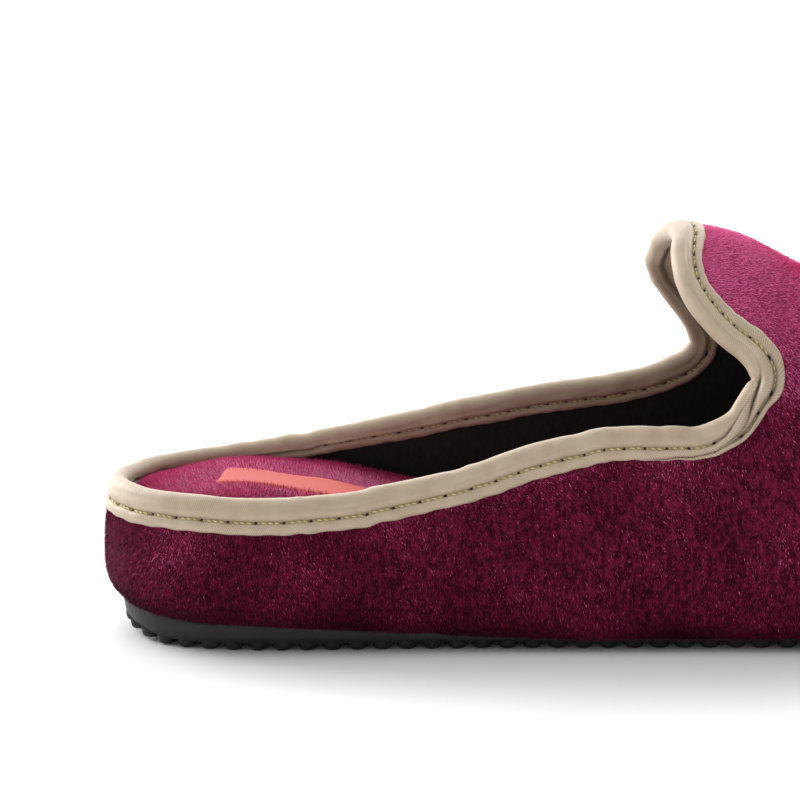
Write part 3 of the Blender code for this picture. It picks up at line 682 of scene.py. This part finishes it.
# The satin is uneven: its lip wanders and is drawn in by each stitch, and it is crumpled near the corners
LIP_WAVE, ROLL_WAVE, TURN_WAVE, CRUMPLE_WAVE = 7 * MM, 6 * MM, 9 * MM, 4.2 * MM
ROLL_SWELL, STITCH_PULL, PULL_REACH, CRUMPLE_START = 0.12, 0.12, 0.9, 1.5
NO_SEAM = -9.0
seam_line = np.where(way > -13.0, seam, fold)
crumple = 0.10 + 0.22 * bell(way + 14.0, 16.0)
folds = crumple * wander(edge, CRUMPLE_WAVE, 5.0)
ragged = 0.26 * wander(edge, LIP_WAVE, 9.0) + 0.13 * beat
in_the_pleat, at_the_corner = spell(way, -11.0, -7.0, -2.2, -0.6), spell(way, -16.0, -12.0, 1.0, 5.0)
rows, across, seams, shadows = [], [], [], []
for k in range(depths.shape[1]):
    depth = depths[:, k]
    height = heights[:, k] * (1 + ROLL_SWELL * wander(edge, ROLL_WAVE, 3.0 + k * 0.12))
    height = height - STITCH_PULL * bell(depth - seam_line, PULL_REACH) * beat * np.minimum(1.0, height)
    height = height + within(seam_line - depth, CRUMPLE_START) * folds
    rows.append(laid(outside, edge, out, depth + within(depth - seam_line, 2.0) * ragged, height))
    across.append(depth)
    seams.append(depth - seam_line)
    shadows.append(
        bell(depth - crease, 0.42) * in_the_pleat + 0.8 * bell(depth - seam, 0.5) * at_the_corner
    )
middle = edge - out * WALL / 2 + down * TURN_DEPTH * MM
notch = 0.8 * bell(way + 1.2, 0.9)
rough = 0.16 * wander(edge, TURN_WAVE, 2.0) + 0.7 * folds
for angle in math.pi * np.arange(TURN_STEPS + 1) / TURN_STEPS:
    radius = TURN_RADIUS + rough - notch * math.cos(angle / 2)
    ray = out * math.cos(angle) - down * math.sin(angle)
    rows.append(middle + ray * (radius * MM)[:, None])
    across.append(level + TURN_DEPTH - TURN_RADIUS * angle)
    seams.append(level + NO_SEAM)
    shadows.append(level)

# The inner leg is sewn down along the sides only. Behind the heel and over the tongue its lip stands loose.
INNER_SEAM = (
    # way, depth of the stitches, in millimetres
    (-122.0, 1.05), (-100.0, 1.9), (-60.0, 3.6), (-36.0, 3.8),
    (-8.0, 4.0), (7.0, 3.5), (18.0, 2.7), (45.0, 2.7),
)
INNER_ROWS = 18
SEWN_FROM, SEWN_TO = -100.0, 9.0
inner_seam = np.interp(way, *np.array(INNER_SEAM).T)
inner_lip = inner_seam + 2.5 + 1.2 * eased(-way, 95.0, 125.0) + 0.8 * eased(way, 8.0, 18.0)
flared = 0.7 * eased(-way, 90.0, 118.0)
unstitched = (way < SEWN_FROM) | (way > SEWN_TO)
inner_folds = crumple * wander(edge, CRUMPLE_WAVE, 11.0)
inner_ragged = 0.30 * wander(edge, LIP_WAVE, -9.0) + 0.14 * beat
steps = np.linspace(0.0, 1.0, INNER_ROWS + 1)[1:]
inner_depths = TURN_DEPTH + steps[None, :] * (inner_lip - TURN_DEPTH)[:, None]
inner_heights = plain_strip(inner_depths, inner_lip, inner_seam, 1.0, 0.9)
for k in range(INNER_ROWS):
    depth, height = inner_depths[:, k], inner_heights[:, k]
    pulled = STITCH_PULL * bell(depth - inner_seam, PULL_REACH) * beat * np.minimum(1.0, height)
    height = height * (1 + ROLL_SWELL * wander(edge, ROLL_WAVE, 8.0 + 0.1 * k)) - pulled
    height = height + within(inner_seam - depth, CRUMPLE_START) * inner_folds
    height = height + within(depth - inner_seam, 1.2) * flared
    bent = depth + within(depth - inner_seam, 2.5) * inner_ragged
    rows.append(laid(inside, edge - out * WALL, -out, bent, height))
    across.append(2 * TURN_DEPTH - TURN_RADIUS * math.pi - depth)
    seams.append(np.where(unstitched, NO_SEAM, (depth - inner_seam) * 1.3))
    shadows.append(0.6 * bell(depth - inner_seam, 0.4) * unstitched)


def strip_mesh(rows, across, seams, shadows, run, beats):
    """A closed band from rows of points, made of a grid. One UV map has metres along and across the strip,
    the other the count of stitches along and millimetres from their line."""
    band = bmesh.new()
    dark = band.verts.layers.float.new("fold_shadow")
    rounds = len(rows[0])
    made = bmesh.ops.create_grid(band, x_segments=rounds, y_segments=len(rows) - 1, size=1.0)
    cells = {}
    for vert in made["verts"]:
        column = round((vert.co.x + 1) / 2 * rounds)
        row = round((vert.co.y + 1) / 2 * (len(rows) - 1))
        cells[vert] = (column, row)
    strip = band.loops.layers.uv.new("strip")
    seam = band.loops.layers.uv.new("seam")
    for face in band.faces:
        for loop in face.loops:
            column, row = cells[loop.vert]
            loop[strip].uv = (run[column], across[row][column % rounds] * MM)
            loop[seam].uv = (beats[column], seams[row][column % rounds])
    for vert, (column, row) in cells.items():
        vert.co = Vector(rows[row][column % rounds])
        vert[dark] = min(1.0, shadows[row][column % rounds])
    bmesh.ops.remove_doubles(band, verts=band.verts, dist=0.0005 * MM)
    bmesh.ops.recalc_face_normals(band, faces=band.faces)
    return band


TWILL_PERIOD = 0.43 * MM
SATIN, SOILED = (0.57, 0.455, 0.335), (0.49, 0.380, 0.270)
SEAM_SHADE, FOLD_SHADE, HOLE_SHADE = (0.26, 0.17, 0.10), (0.075, 0.045, 0.025), (0.040, 0.018, 0.010)
satin, shader, place = finish(
    "beige_satin", 0.46, (0.55, 0.44, 0.32), sheen_weight=0.25, sheen_roughness=0.3,
    specular_ior_level=0.5,
)
strip = place.node("ShaderNodeUVMap", uv_map="strip")
slant = (strip.axis("X") * 0.87 - strip.axis("Y") * 0.5) * (2 * math.pi / TWILL_PERIOD)
twill = place.maths("SINE", slant) * 0.5 + 0.5
seam_map = place.node("ShaderNodeUVMap", uv_map="seam")
aside = seam_map.axis("Y")
from_hole = (place.maths("FRACT", seam_map.axis("X") + 0.5) - 0.5) * 5.4
hole = 1 - ((from_hole * 0.62) ** 2.0 + aside ** 2.0).ramp(0.03, 0.16)
groove = 1 - place.maths("ABSOLUTE", aside + 0.15).ramp(0.15, 0.8)
soil = clouds(place, scale=210.0, detail=3.0, roughness=0.6)
# The glints are painted highlights: fine bright points in the satin's colour
glints = clouds(place, scale=3200.0, detail=1.0)
warm = soil.ramp(0.3, 0.75).between(SATIN, SOILED)
# On the lip the twill and glints are stronger: a looser weave, with more painted highlight where it catches
# light
lip_weave_and_painted_highlights = aside.ramp(0.6, 1.2) * 0.9 + 0.8
threads = (twill * 0.7 + glints * 0.3 - 0.5) * lip_weave_and_painted_highlights + 0.5
lined = threads.between((0.78, 0.76, 0.72), (1.04, 1.04, 1.04))
tinted = {0: 1.0, 6: warm, 7: lined}
woven = place.node("ShaderNodeMix", tinted, output=2, data_type="RGBA", blend_type="MULTIPLY")
fold_shadow = place.node("ShaderNodeAttribute", output="Fac", attribute_name="fold_shadow")
shaded = (groove * 0.45).between(woven, SEAM_SHADE)
shaded = (fold_shadow * 0.85).between(shaded, FOLD_SHADE)
feed(shader, "Base Color", hole.between(shaded, HOLE_SHADE))
feed(shader, "Roughness", hole * 0.5 + 0.46)
feed(shader, "Normal", relief(place, twill + glints * 0.5 - hole * 4.0, strength=0.6, distance=0.05 * MM))

CLOTH = 0.35 * MM
binding = as_object("collar_binding", strip_mesh(rows, across, seams, shadows, arc, beats), satin)
cloth = binding.modifiers.new("cloth", "SOLIDIFY")
cloth.thickness = CLOTH
cloth.offset = -1.0
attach(binding, "root")
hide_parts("binding")

# Thread
# Yellowish cotton, lock-stitched through both legs of the binding and the upper between them. Each stitch
# lies on the satin between two needle holes and pulls it down.
THREAD_RADIUS, THREAD_SIDES, TWIST_PITCH = 0.28 * MM, 7, 1.5 * MM
TAPER = np.array((0.6, 0.9, 1.0, 1.0, 1.0, 1.0, 1.0, 0.9, 0.6))
# How high a stitch lies off the cloth, how far it arches, how much lower it is in the pleated corner, and
# how far it may run across the strip, in millimetres
STITCH_LIFT, STITCH_ARCH, CORNER_SINK, STITCH_SLANT = 0.30, 0.34, 0.38, 0.9


def tube(band, path, radii, sides):
    """A round bar along a path, from a grid rolled up, with its ends still open."""
    made = bmesh.ops.create_grid(band, x_segments=sides, y_segments=len(path) - 1, size=1.0)
    reach = np.concatenate(([0.0], np.cumsum(np.linalg.norm(np.diff(path, axis=0), axis=1))))
    ply = band.loops.layers.uv.verify()
    for face in {face for vert in made["verts"] for face in vert.link_faces}:
        for loop in face.loops:
            k = round((loop.vert.co.y + 1) / 2 * (len(path) - 1))
            loop[ply].uv = (reach[k], (loop.vert.co.x + 1) / 2)
    ahead = unit(np.gradient(path, axis=0))
    side = unit(np.cross(ahead, np.array((0.13, 0.21, 1.0))))
    top = np.cross(side, ahead)
    for vert in made["verts"]:
        angle = math.pi * (vert.co.x + 1)
        k = round((vert.co.y + 1) / 2 * (len(path) - 1))
        ray = side[k] * math.cos(angle) + top[k] * math.sin(angle)
        vert.co = Vector(path[k] + ray * radii[k])


def at_beats(wanted, column):
    """What a closed column holds where the count of stitches is as wanted."""
    return np.interp(wanted, beats, np.append(column, column[0]))


LEGS = (
    # face of the upper, its edge, depth of the stitches, share of the pitch that each hole takes
    (outside, edge, seam_line, 0.05),
    (inside, edge - out * WALL, inner_seam, 0.12),
)
thread_mesh = bmesh.new()
for tree, base, depth, short in LEGS:
    line = base + down * (depth * MM)[:, None]
    for k in range(stitches):
        wanted = k + np.linspace(short, 1 - short, len(TAPER))
        here = at_beats(k + 0.5, way)
        loose = tree is inside and not SEWN_FROM < here < SEWN_TO
        if loose or np.ptp(at_beats(wanted, depth)) > STITCH_SLANT:
            continue
        root = np.stack([at_beats(wanted, column) for column in line.T], axis=1)
        hit, normal = nearest(tree, root)
        lift = STITCH_LIFT + STITCH_ARCH * np.sin(np.linspace(0.0, math.pi, len(TAPER))) ** 0.5
        lift[0] = lift[-1] = 0.0
        if tree is outside:
            lift -= CORNER_SINK * spell(here, -14.0, -11.0, 1.0, 5.0)
        tube(thread_mesh, hit + normal * (lift * MM)[:, None], THREAD_RADIUS * TAPER, THREAD_SIDES)
bmesh.ops.remove_doubles(thread_mesh, verts=thread_mesh.verts, dist=0.001 * MM)
bmesh.ops.holes_fill(thread_mesh, edges=thread_mesh.edges, sides=THREAD_SIDES + 1)
bmesh.ops.recalc_face_normals(thread_mesh, faces=thread_mesh.faces)
cotton, shader, place = finish("yellow_thread", 0.6, (0.52, 0.42, 0.20), sheen_weight=0.3)
ply = place.node("ShaderNodeUVMap")
ply_ridges_and_painted_highlights = place.maths("SINE", (ply.axis("X") / TWIST_PITCH + ply.axis("Y")) * (2 * math.pi)) * 0.5 + 0.5
# The ply's light and dark stripes in the colour are painted highlight and shade along the twist
feed(shader, "Base Color", ply_ridges_and_painted_highlights.ramp(0.0, 0.8).between((0.28, 0.21, 0.08), (0.64, 0.53, 0.26)))
feed(shader, "Normal", relief(place, ply_ridges_and_painted_highlights, strength=0.9, distance=0.15 * MM))
thread = as_object("binding_thread", thread_mesh, cotton)
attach(thread, "root")

# Footbed
# A soft foam wedge under a cover of the same velvet, thick under the heel and thin under the toes. It is
# laid in the shell and its crowned top fills the heel up to the binding.
CROWN, CROWN_X, CROWN_REACH = 1.7, -96.0, 13.0
DIP = 0.9
# At the heel the foam stays back from the wall, by this much over this reach
STAY_BACK, STAY_REACH = 1.9, 3.2
foam = subdivided(cad_copy("insole"), 2)
foam.normal_update()
for vert in foam.verts:
    if vert.normal.z > 0.2:
        place = vert.co / MM
        height = waves(place, (0.30, 16.0), (0.15, 7.0))
        height += CROWN * bell(place.x - CROWN_X, CROWN_REACH)
        height -= DIP * spell(place.x, -75.0, -52.0, -40.0, 0.0)
        to_wall = inside.find_nearest(vert.co)[3] / MM
        height -= STAY_BACK * bell(to_wall, STAY_REACH) * eased(-place.x, 88.0, 106.0)
        vert.co.z += height * MM
foam.normal_update()
for face in foam.faces:
    face.material_index = 0
bed_top = tree_of(foam, 0)
bed_sheet = foam.copy()

bed_velvet, shader, place = finish(
    "magenta_velvet", 0.9, (0.22, 0.012, 0.055), specular_ior_level=0.1,
    sheen_weight=0.7, sheen_roughness=0.4, sheen_tint=(1.0, 0.38, 0.60, 1.0),
)
fibres = clouds(place, scale=800.0, detail=3.0, roughness=0.65)
patches = clouds(place, scale=60.0, detail=3.0, roughness=0.55)
light = (fibres.ramp(0.34, 0.66) * 0.5 + patches.ramp(0.3, 0.7) * 0.5).ramp(0.0, 1.0)
feed(shader, "Base Color", light.between((0.090, 0.003, 0.024), (0.42, 0.050, 0.140)))
feed(shader, "Normal", relief(place, fibres, strength=0.9, distance=0.5 * MM))
footbed = as_object("footbed", foam, bed_velvet)
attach(footbed, "root")
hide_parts("insole")

# The patch under the heel: its middle, its turn, half its sides, and how much of its near side is sunk in
# the pile, in millimetres
PATCH_X, PATCH_Y, PATCH_TURN = -71.5, -11.0, math.radians(-8.0)
PATCH_LONG, PATCH_WIDE, PATCH_SUNK = 27.5, 9.2, 4.8
PILE_OVER = 0.5


def open_to_the_patch(face):
    """True where the patch lies bare on the footbed, so that no pile is wanted."""
    place = face.calc_center_median() / MM
    along, aside = Matrix.Rotation(-PATCH_TURN, 2) @ Vector((place.x - PATCH_X, place.y - PATCH_Y))
    near = PATCH_SUNK - PATCH_WIDE + waves(place, (0.7, 2.0))
    return abs(along) < PATCH_LONG - PILE_OVER and near < aside < PATCH_WIDE - PILE_OVER


# The footbed's blades face up, so they take lighter shades as painted light from above
magenta_pile = pile_finishes("magenta_pile", (
    (0.090, 0.0012, 0.017), (0.170, 0.0040, 0.037), (0.270, 0.0105, 0.068), (0.400, 0.0260, 0.112),
    (0.510, 0.0500, 0.165),
))
for bed_pile in cut_pile(
    ("footbed_pile",), bed_sheet, magenta_pile,
    keep=lambda face: face.normal.z > 0.35 and not open_to_the_patch(face),
    length=1.15 * MM, breadth=0.24 * MM, nap=(-0.3, 0.2, 0.0), seed=12,
):
    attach(bed_pile, "root")

# Label
# A bare salmon patch of coated cloth, stuck on the footbed under the heel, a little askew. The pile
# round it stands over its edges.
PATCH_CLOTH = 0.35 * MM
BARE, NEAR_SIDE_DROP = PATCH_WIDE - PATCH_SUNK, 1.3
patch = bmesh.new()
made = bmesh.ops.create_grid(patch, x_segments=44, y_segments=18, size=1.0)
bmesh.ops.scale(patch, vec=Vector((PATCH_LONG, PATCH_WIDE, 1.0)) * MM, verts=made["verts"])
turned = Matrix.Rotation(PATCH_TURN, 4, "Z")
over_the_bed = Matrix.Translation(Vector((PATCH_X, PATCH_Y, 60.0)) * MM)
bmesh.ops.transform(patch, matrix=over_the_bed @ turned, verts=made["verts"])
for vert in patch.verts:
    aside = (turned.inverted() @ (over_the_bed.inverted() @ vert.co)).y / MM
    sunk = NEAR_SIDE_DROP * eased(-aside, BARE - 0.5, BARE + 1.5)
    hit = bed_top.ray_cast(vert.co, Vector((0, 0, -1)))[0]
    vert.co.z = hit.z + PATCH_CLOTH - sunk * MM
coated, shader, place = finish("salmon_patch", 0.55, (0.50, 0.050, 0.033), specular_ior_level=0.3)
weave = clouds(place, scale=1500.0)
feed(shader, "Base Color", weave.between((0.46, 0.043, 0.029), (0.54, 0.058, 0.038)))
feed(shader, "Normal", relief(place, weave, strength=0.25, distance=0.1 * MM))
label = as_object("footbed_patch", patch, coated)
thick = label.modifiers.new("thick", "SOLIDIFY")
thick.thickness = PATCH_CLOTH
thick.offset = -1.0
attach(label, "root")

# Outsole
# One moulded unit of black rubber, a smooth band round a thin plate, with small round lugs under its edge
# and cross bars between them. It is glued on last, and its heel and toe curve up off the floor.
LENGTH = 256.0 * MM
LUG = 1.5 * MM
HEEL_LIFT, HEEL_LIFT_END = 5.2 * MM, 0.075
TOE_SPRING, TOE_SPRING_START = 6.0 * MM, 0.8
OUTLINE_POINTS = 300
BAND_LIP, BAND_LIP_SHARE = 0.8 * MM, 0.4
SECTION = (
    # inset in millimetres, share up from the band's lower edge to its top, or down from it to the lugs
    (2.6, -1.0),
    (0.95, -0.6),
    (0.42, 0.0),
    (0.25, 0.3),
    (0.22, 0.7),
    (0.30, 0.93),
    (0.75, 1.0),
    (2.6, 1.0),
)


def lift_of(x):
    """How far the tread is off the floor at x in the row frame, at the heel's back and at the toe."""
    share = x / LENGTH + 0.5
    if share < HEEL_LIFT_END:
        return HEEL_LIFT * (1 - share / HEEL_LIFT_END) ** 2
    if share > TOE_SPRING_START:
        return TOE_SPRING * ((share - TOE_SPRING_START) / (1 - TOE_SPRING_START)) ** 2
    return 0.0


ring = smoothed(resampled(foot_ring, gaps_of(foot_ring), OUTLINE_POINTS), 1)
tangent = unit(np.roll(ring, -1, axis=0) - np.roll(ring, 1, axis=0))
outward = unit(np.cross(tangent, np.array((0.0, 0.0, 1.0))))
if (outward * ring)[:, :2].sum() < 0:
    outward = -outward
top_z = ring[:, 2] - 0.25 * MM
low_z = np.array([lift_of(x) + LUG for x in ring[:, 0]])
band_low = low_z + np.minimum(BAND_LIP, BAND_LIP_SHARE * (top_z - low_z))
sole = bmesh.new()
circles = []
for inset, share in SECTION:
    points = ring - outward * inset * MM
    over, under = max(share, 0.0), max(-share, 0.0)
    points[:, 2] = band_low + over * (top_z - band_low) - under * (band_low - low_z)
    circle = bmesh.ops.create_circle(sole, segments=len(ring), radius=1.0)["verts"]
    for vert, point in zip(circle, points):
        vert.co = Vector(point)
    circles.append(circle)


def edges_along(mesh, verts):
    return [mesh.edges.get(pair) for pair in zip(verts, verts[1:])]


for lower, higher in zip(circles, circles[1:]):
    both = edges_along(sole, lower + lower[:1]) + edges_along(sole, higher + higher[:1])
    bmesh.ops.bridge_loops(sole, edges=both)
# The plate's two faces are bridged across from the outer side to the inner one
heel = int(np.argmin(ring[:, 0]))
for circle in (circles[0], circles[-1]):
    ordered = circle[heel:] + circle[:heel]
    toe = max(range(len(ordered)), key=lambda k: ordered[k].co.x)
    sides = edges_along(sole, ordered[1:toe]) + edges_along(sole, ordered[:toe:-1])
    bmesh.ops.bridge_loops(sole, edges=sides)
bmesh.ops.holes_fill(sole, edges=sole.edges, sides=4)


def new_post(radius, height, sides):
    """A round lug, a little narrower at the floor."""
    lug = bmesh.new()
    bmesh.ops.create_cone(
        lug, cap_ends=True, segments=sides, radius1=radius * 0.92, radius2=radius, depth=height,
    )
    return lug


def new_bar(length, height):
    """A straight lug across the sole."""
    lug = bmesh.new()
    made = bmesh.ops.create_cube(lug, size=1.0)
    bmesh.ops.scale(lug, vec=Vector((BAR_WIDTH, length, height)), verts=made["verts"])
    return lug


def add_lug(lug, round_off, x, y):
    """Rounds the lug's lower edge, stands it on the tread's line and joins it to the sole's mesh."""
    lowest = min(vert.co.z for vert in lug.verts)
    rim = [edge for edge in lug.edges if all(vert.co.z < lowest + 0.01 * MM for vert in edge.verts)]
    bmesh.ops.bevel(
        lug, geom=rim, offset=round_off, segments=3, profile=0.5, affect="EDGES", material=-1,
    )
    bmesh.ops.translate(lug, verts=lug.verts, vec=Vector((x, y, lift_of(x) - lowest)))
    part = bpy.data.meshes.new("lug")
    lug.to_mesh(part)
    lug.free()
    sole.from_mesh(part)
    bpy.data.meshes.remove(part)


# Each lug reaches a little into the plate over it
KNOB_RADIUS, KNOB_HEIGHT, KNOB_PITCH, KNOB_INSET = 2.45 * MM, LUG + 0.9 * MM, 5.9 * MM, 0.45 * MM
BAR_WIDTH, BAR_HEIGHT, BAR_PITCH, BAR_INSET = 4.0 * MM, LUG + 0.5 * MM, 8.0 * MM, 7.5 * MM
FIRST_BAR, BARS = -105.0 * MM, 25
PAD_HEIGHT = LUG + 0.6 * MM
PADS = (
    # x, y, radius in millimetres, where the frame's two flat spots rest on the floor
    (-89.6, -1.3, 14.0),
    (48.64, -0.53, 20.0),
)
knob_line = ring - outward * (KNOB_RADIUS + KNOB_INSET)
steps = gaps_of(knob_line)
for x, y, _ in resampled(knob_line, steps, round(steps.sum() / KNOB_PITCH)):
    add_lug(new_post(KNOB_RADIUS, KNOB_HEIGHT, 12), 1.1 * MM, x, y)
halves = {}
for sign in (-1, 1):
    half = ring[ring[:, 1] * sign > 0]
    halves[sign] = half[np.argsort(half[:, 0])]
for k in range(BARS):
    x = FIRST_BAR + BAR_PITCH * k
    outer, inner = [np.interp(x, *halves[sign].T[:2]) - sign * BAR_INSET for sign in (-1, 1)]
    add_lug(new_bar(inner - outer, BAR_HEIGHT), 0.5 * MM, x, (outer + inner) / 2)
for x, y, radius in PADS:
    add_lug(new_post(radius * MM, PAD_HEIGHT, 40), 0.4 * MM, x * MM, y * MM)
bmesh.ops.recalc_face_normals(sole, faces=sole.faces)

rubber, shader, place = finish("black_rubber", 0.5, (0.018, 0.018, 0.019), specular_ior_level=0.4)
grain = clouds(place, scale=1400.0, roughness=0.6)
chalk = clouds(place, scale=130.0, detail=4.0, roughness=0.65)
cells = {"Vector": place, "Scale": 330.0, "Randomness": 1.0}
speck = 1 - place.node("ShaderNodeTexVoronoi", cells, output="Distance").ramp(0.035, 0.075)
dusty = (chalk.ramp(0.45, 0.75) * 0.35 + speck * 0.5).ramp(0.0, 1.0)
feed(shader, "Base Color", dusty.between((0.004, 0.004, 0.0045), (0.075, 0.075, 0.072)))
feed(shader, "Roughness", chalk.ramp(0.3, 0.7) * 0.25 + 0.42)
feed(shader, "Normal", relief(place, grain * 0.5 + chalk, strength=0.35, distance=0.2 * MM))
outsole = as_object("outsole_unit", sole, rubber)
outsole.data.set_sharp_from_angle(angle=math.radians(50))
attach(outsole, "root")
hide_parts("outsole")

# Floor, light and camera
# A plain white sheet that glows a little far out, so that it fades into the white behind. The light is a
# dome, bright behind, above and at the horizon, with four soft lamps. The camera is low at the outer side.
FLOOR_HALF = 4.0
GLOW_START, GLOW_FULL = 0.7, 1.6
ground = bmesh.new()
bmesh.ops.create_grid(ground, x_segments=1, y_segments=1, size=FLOOR_HALF)
paper, shader, place = finish("white_paper", 0.9, (0.95, 0.95, 0.95), emission_strength=1.0)
far_out = place.node("ShaderNodeVectorMath", {0: place}, output="Value", operation="LENGTH")
glow = far_out.ramp(GLOW_START, GLOW_FULL).between((0.0, 0.0, 0.0), (0.4, 0.4, 0.4))
feed(shader, "Emission Color", glow)
floor = as_object("floor", ground, paper)

SKY_DIM, SKY_BRIGHT = (0.06, 0.06, 0.062), (1.36, 1.36, 1.36)
BRIGHT_WAY = (-0.30, 0.80, 0.52)
world = bpy.data.worlds.new("studio")
bpy.context.scene.world = world
world.use_nodes = True
tree = world.node_tree
sky = Socket(tree, tree.nodes.new("ShaderNodeTexCoord").outputs["Generated"])
both_ways = {0: sky, 1: BRIGHT_WAY}
toward = sky.node("ShaderNodeVectorMath", both_ways, output="Value", operation="DOT_PRODUCT")
horizon = 1 - sky.axis("Z").ramp(0.14, 0.38)
dome = sky.maths("MAXIMUM", toward.ramp(-0.05, 0.75), horizon)
feed(tree.nodes["Background"], "Color", dome.between(SKY_DIM, SKY_BRIGHT))
LAMPS = (
    # name, size, power, place, aim
    ("key", 1.0, 4.5, (-0.35, 0.95, 0.75), (-0.03, 0.0, 0.04)),
    ("right", 0.6, 5.5, (0.60, 0.75, 0.80), (0.05, 0.0, 0.06)),
    ("left", 0.5, 6.0, (-0.75, 0.50, 0.40), (-0.03, 0.0, 0.06)),
    ("front", 0.9, 2.0, (-0.15, -0.30, 0.95), (0.0, 0.0, 0.04)),
)
for name, size, power, where, aim in LAMPS:
    lamp = bpy.data.lights.new(name, "AREA")
    lamp.size = size
    lamp.energy = power
    item = bpy.data.objects.new(name, lamp)
    item.location = where
    item.rotation_euler = (Vector(aim) - Vector(where)).to_track_quat("-Z", "Y").to_euler()
    bpy.context.scene.collection.objects.link(item)

# The camera's place, angles and focal length, as they were fitted to the shoe's outline in the photograph
EYE = (-0.051788, -0.673152, 0.185124)
YAW, PITCH, ROLL = math.radians(-0.283), math.radians(11.065), math.radians(-1.853)
FOCAL_PIXELS, PHOTO_PIXELS, SENSOR = 2848.983, 800, 36.0
ahead = Vector((math.sin(YAW) * math.cos(PITCH), math.cos(YAW) * math.cos(PITCH), -math.sin(PITCH)))
sideways = Vector((math.cos(YAW), -math.sin(YAW), 0.0))
upright = sideways.cross(ahead)
right = sideways * math.cos(ROLL) + upright * math.sin(ROLL)
top = upright * math.cos(ROLL) - sideways * math.sin(ROLL)
lens = bpy.data.cameras.new("camera")
lens.sensor_width = SENSOR
lens.lens = SENSOR * FOCAL_PIXELS / PHOTO_PIXELS
camera = bpy.data.objects.new("camera", lens)
camera.matrix_world = Matrix.Translation(EYE) @ Matrix((right, top, -ahead)).transposed().to_4x4()
bpy.context.scene.collection.objects.link(camera)
bpy.context.scene.camera = camera
bpy.context.scene.view_settings.view_transform = "Standard"
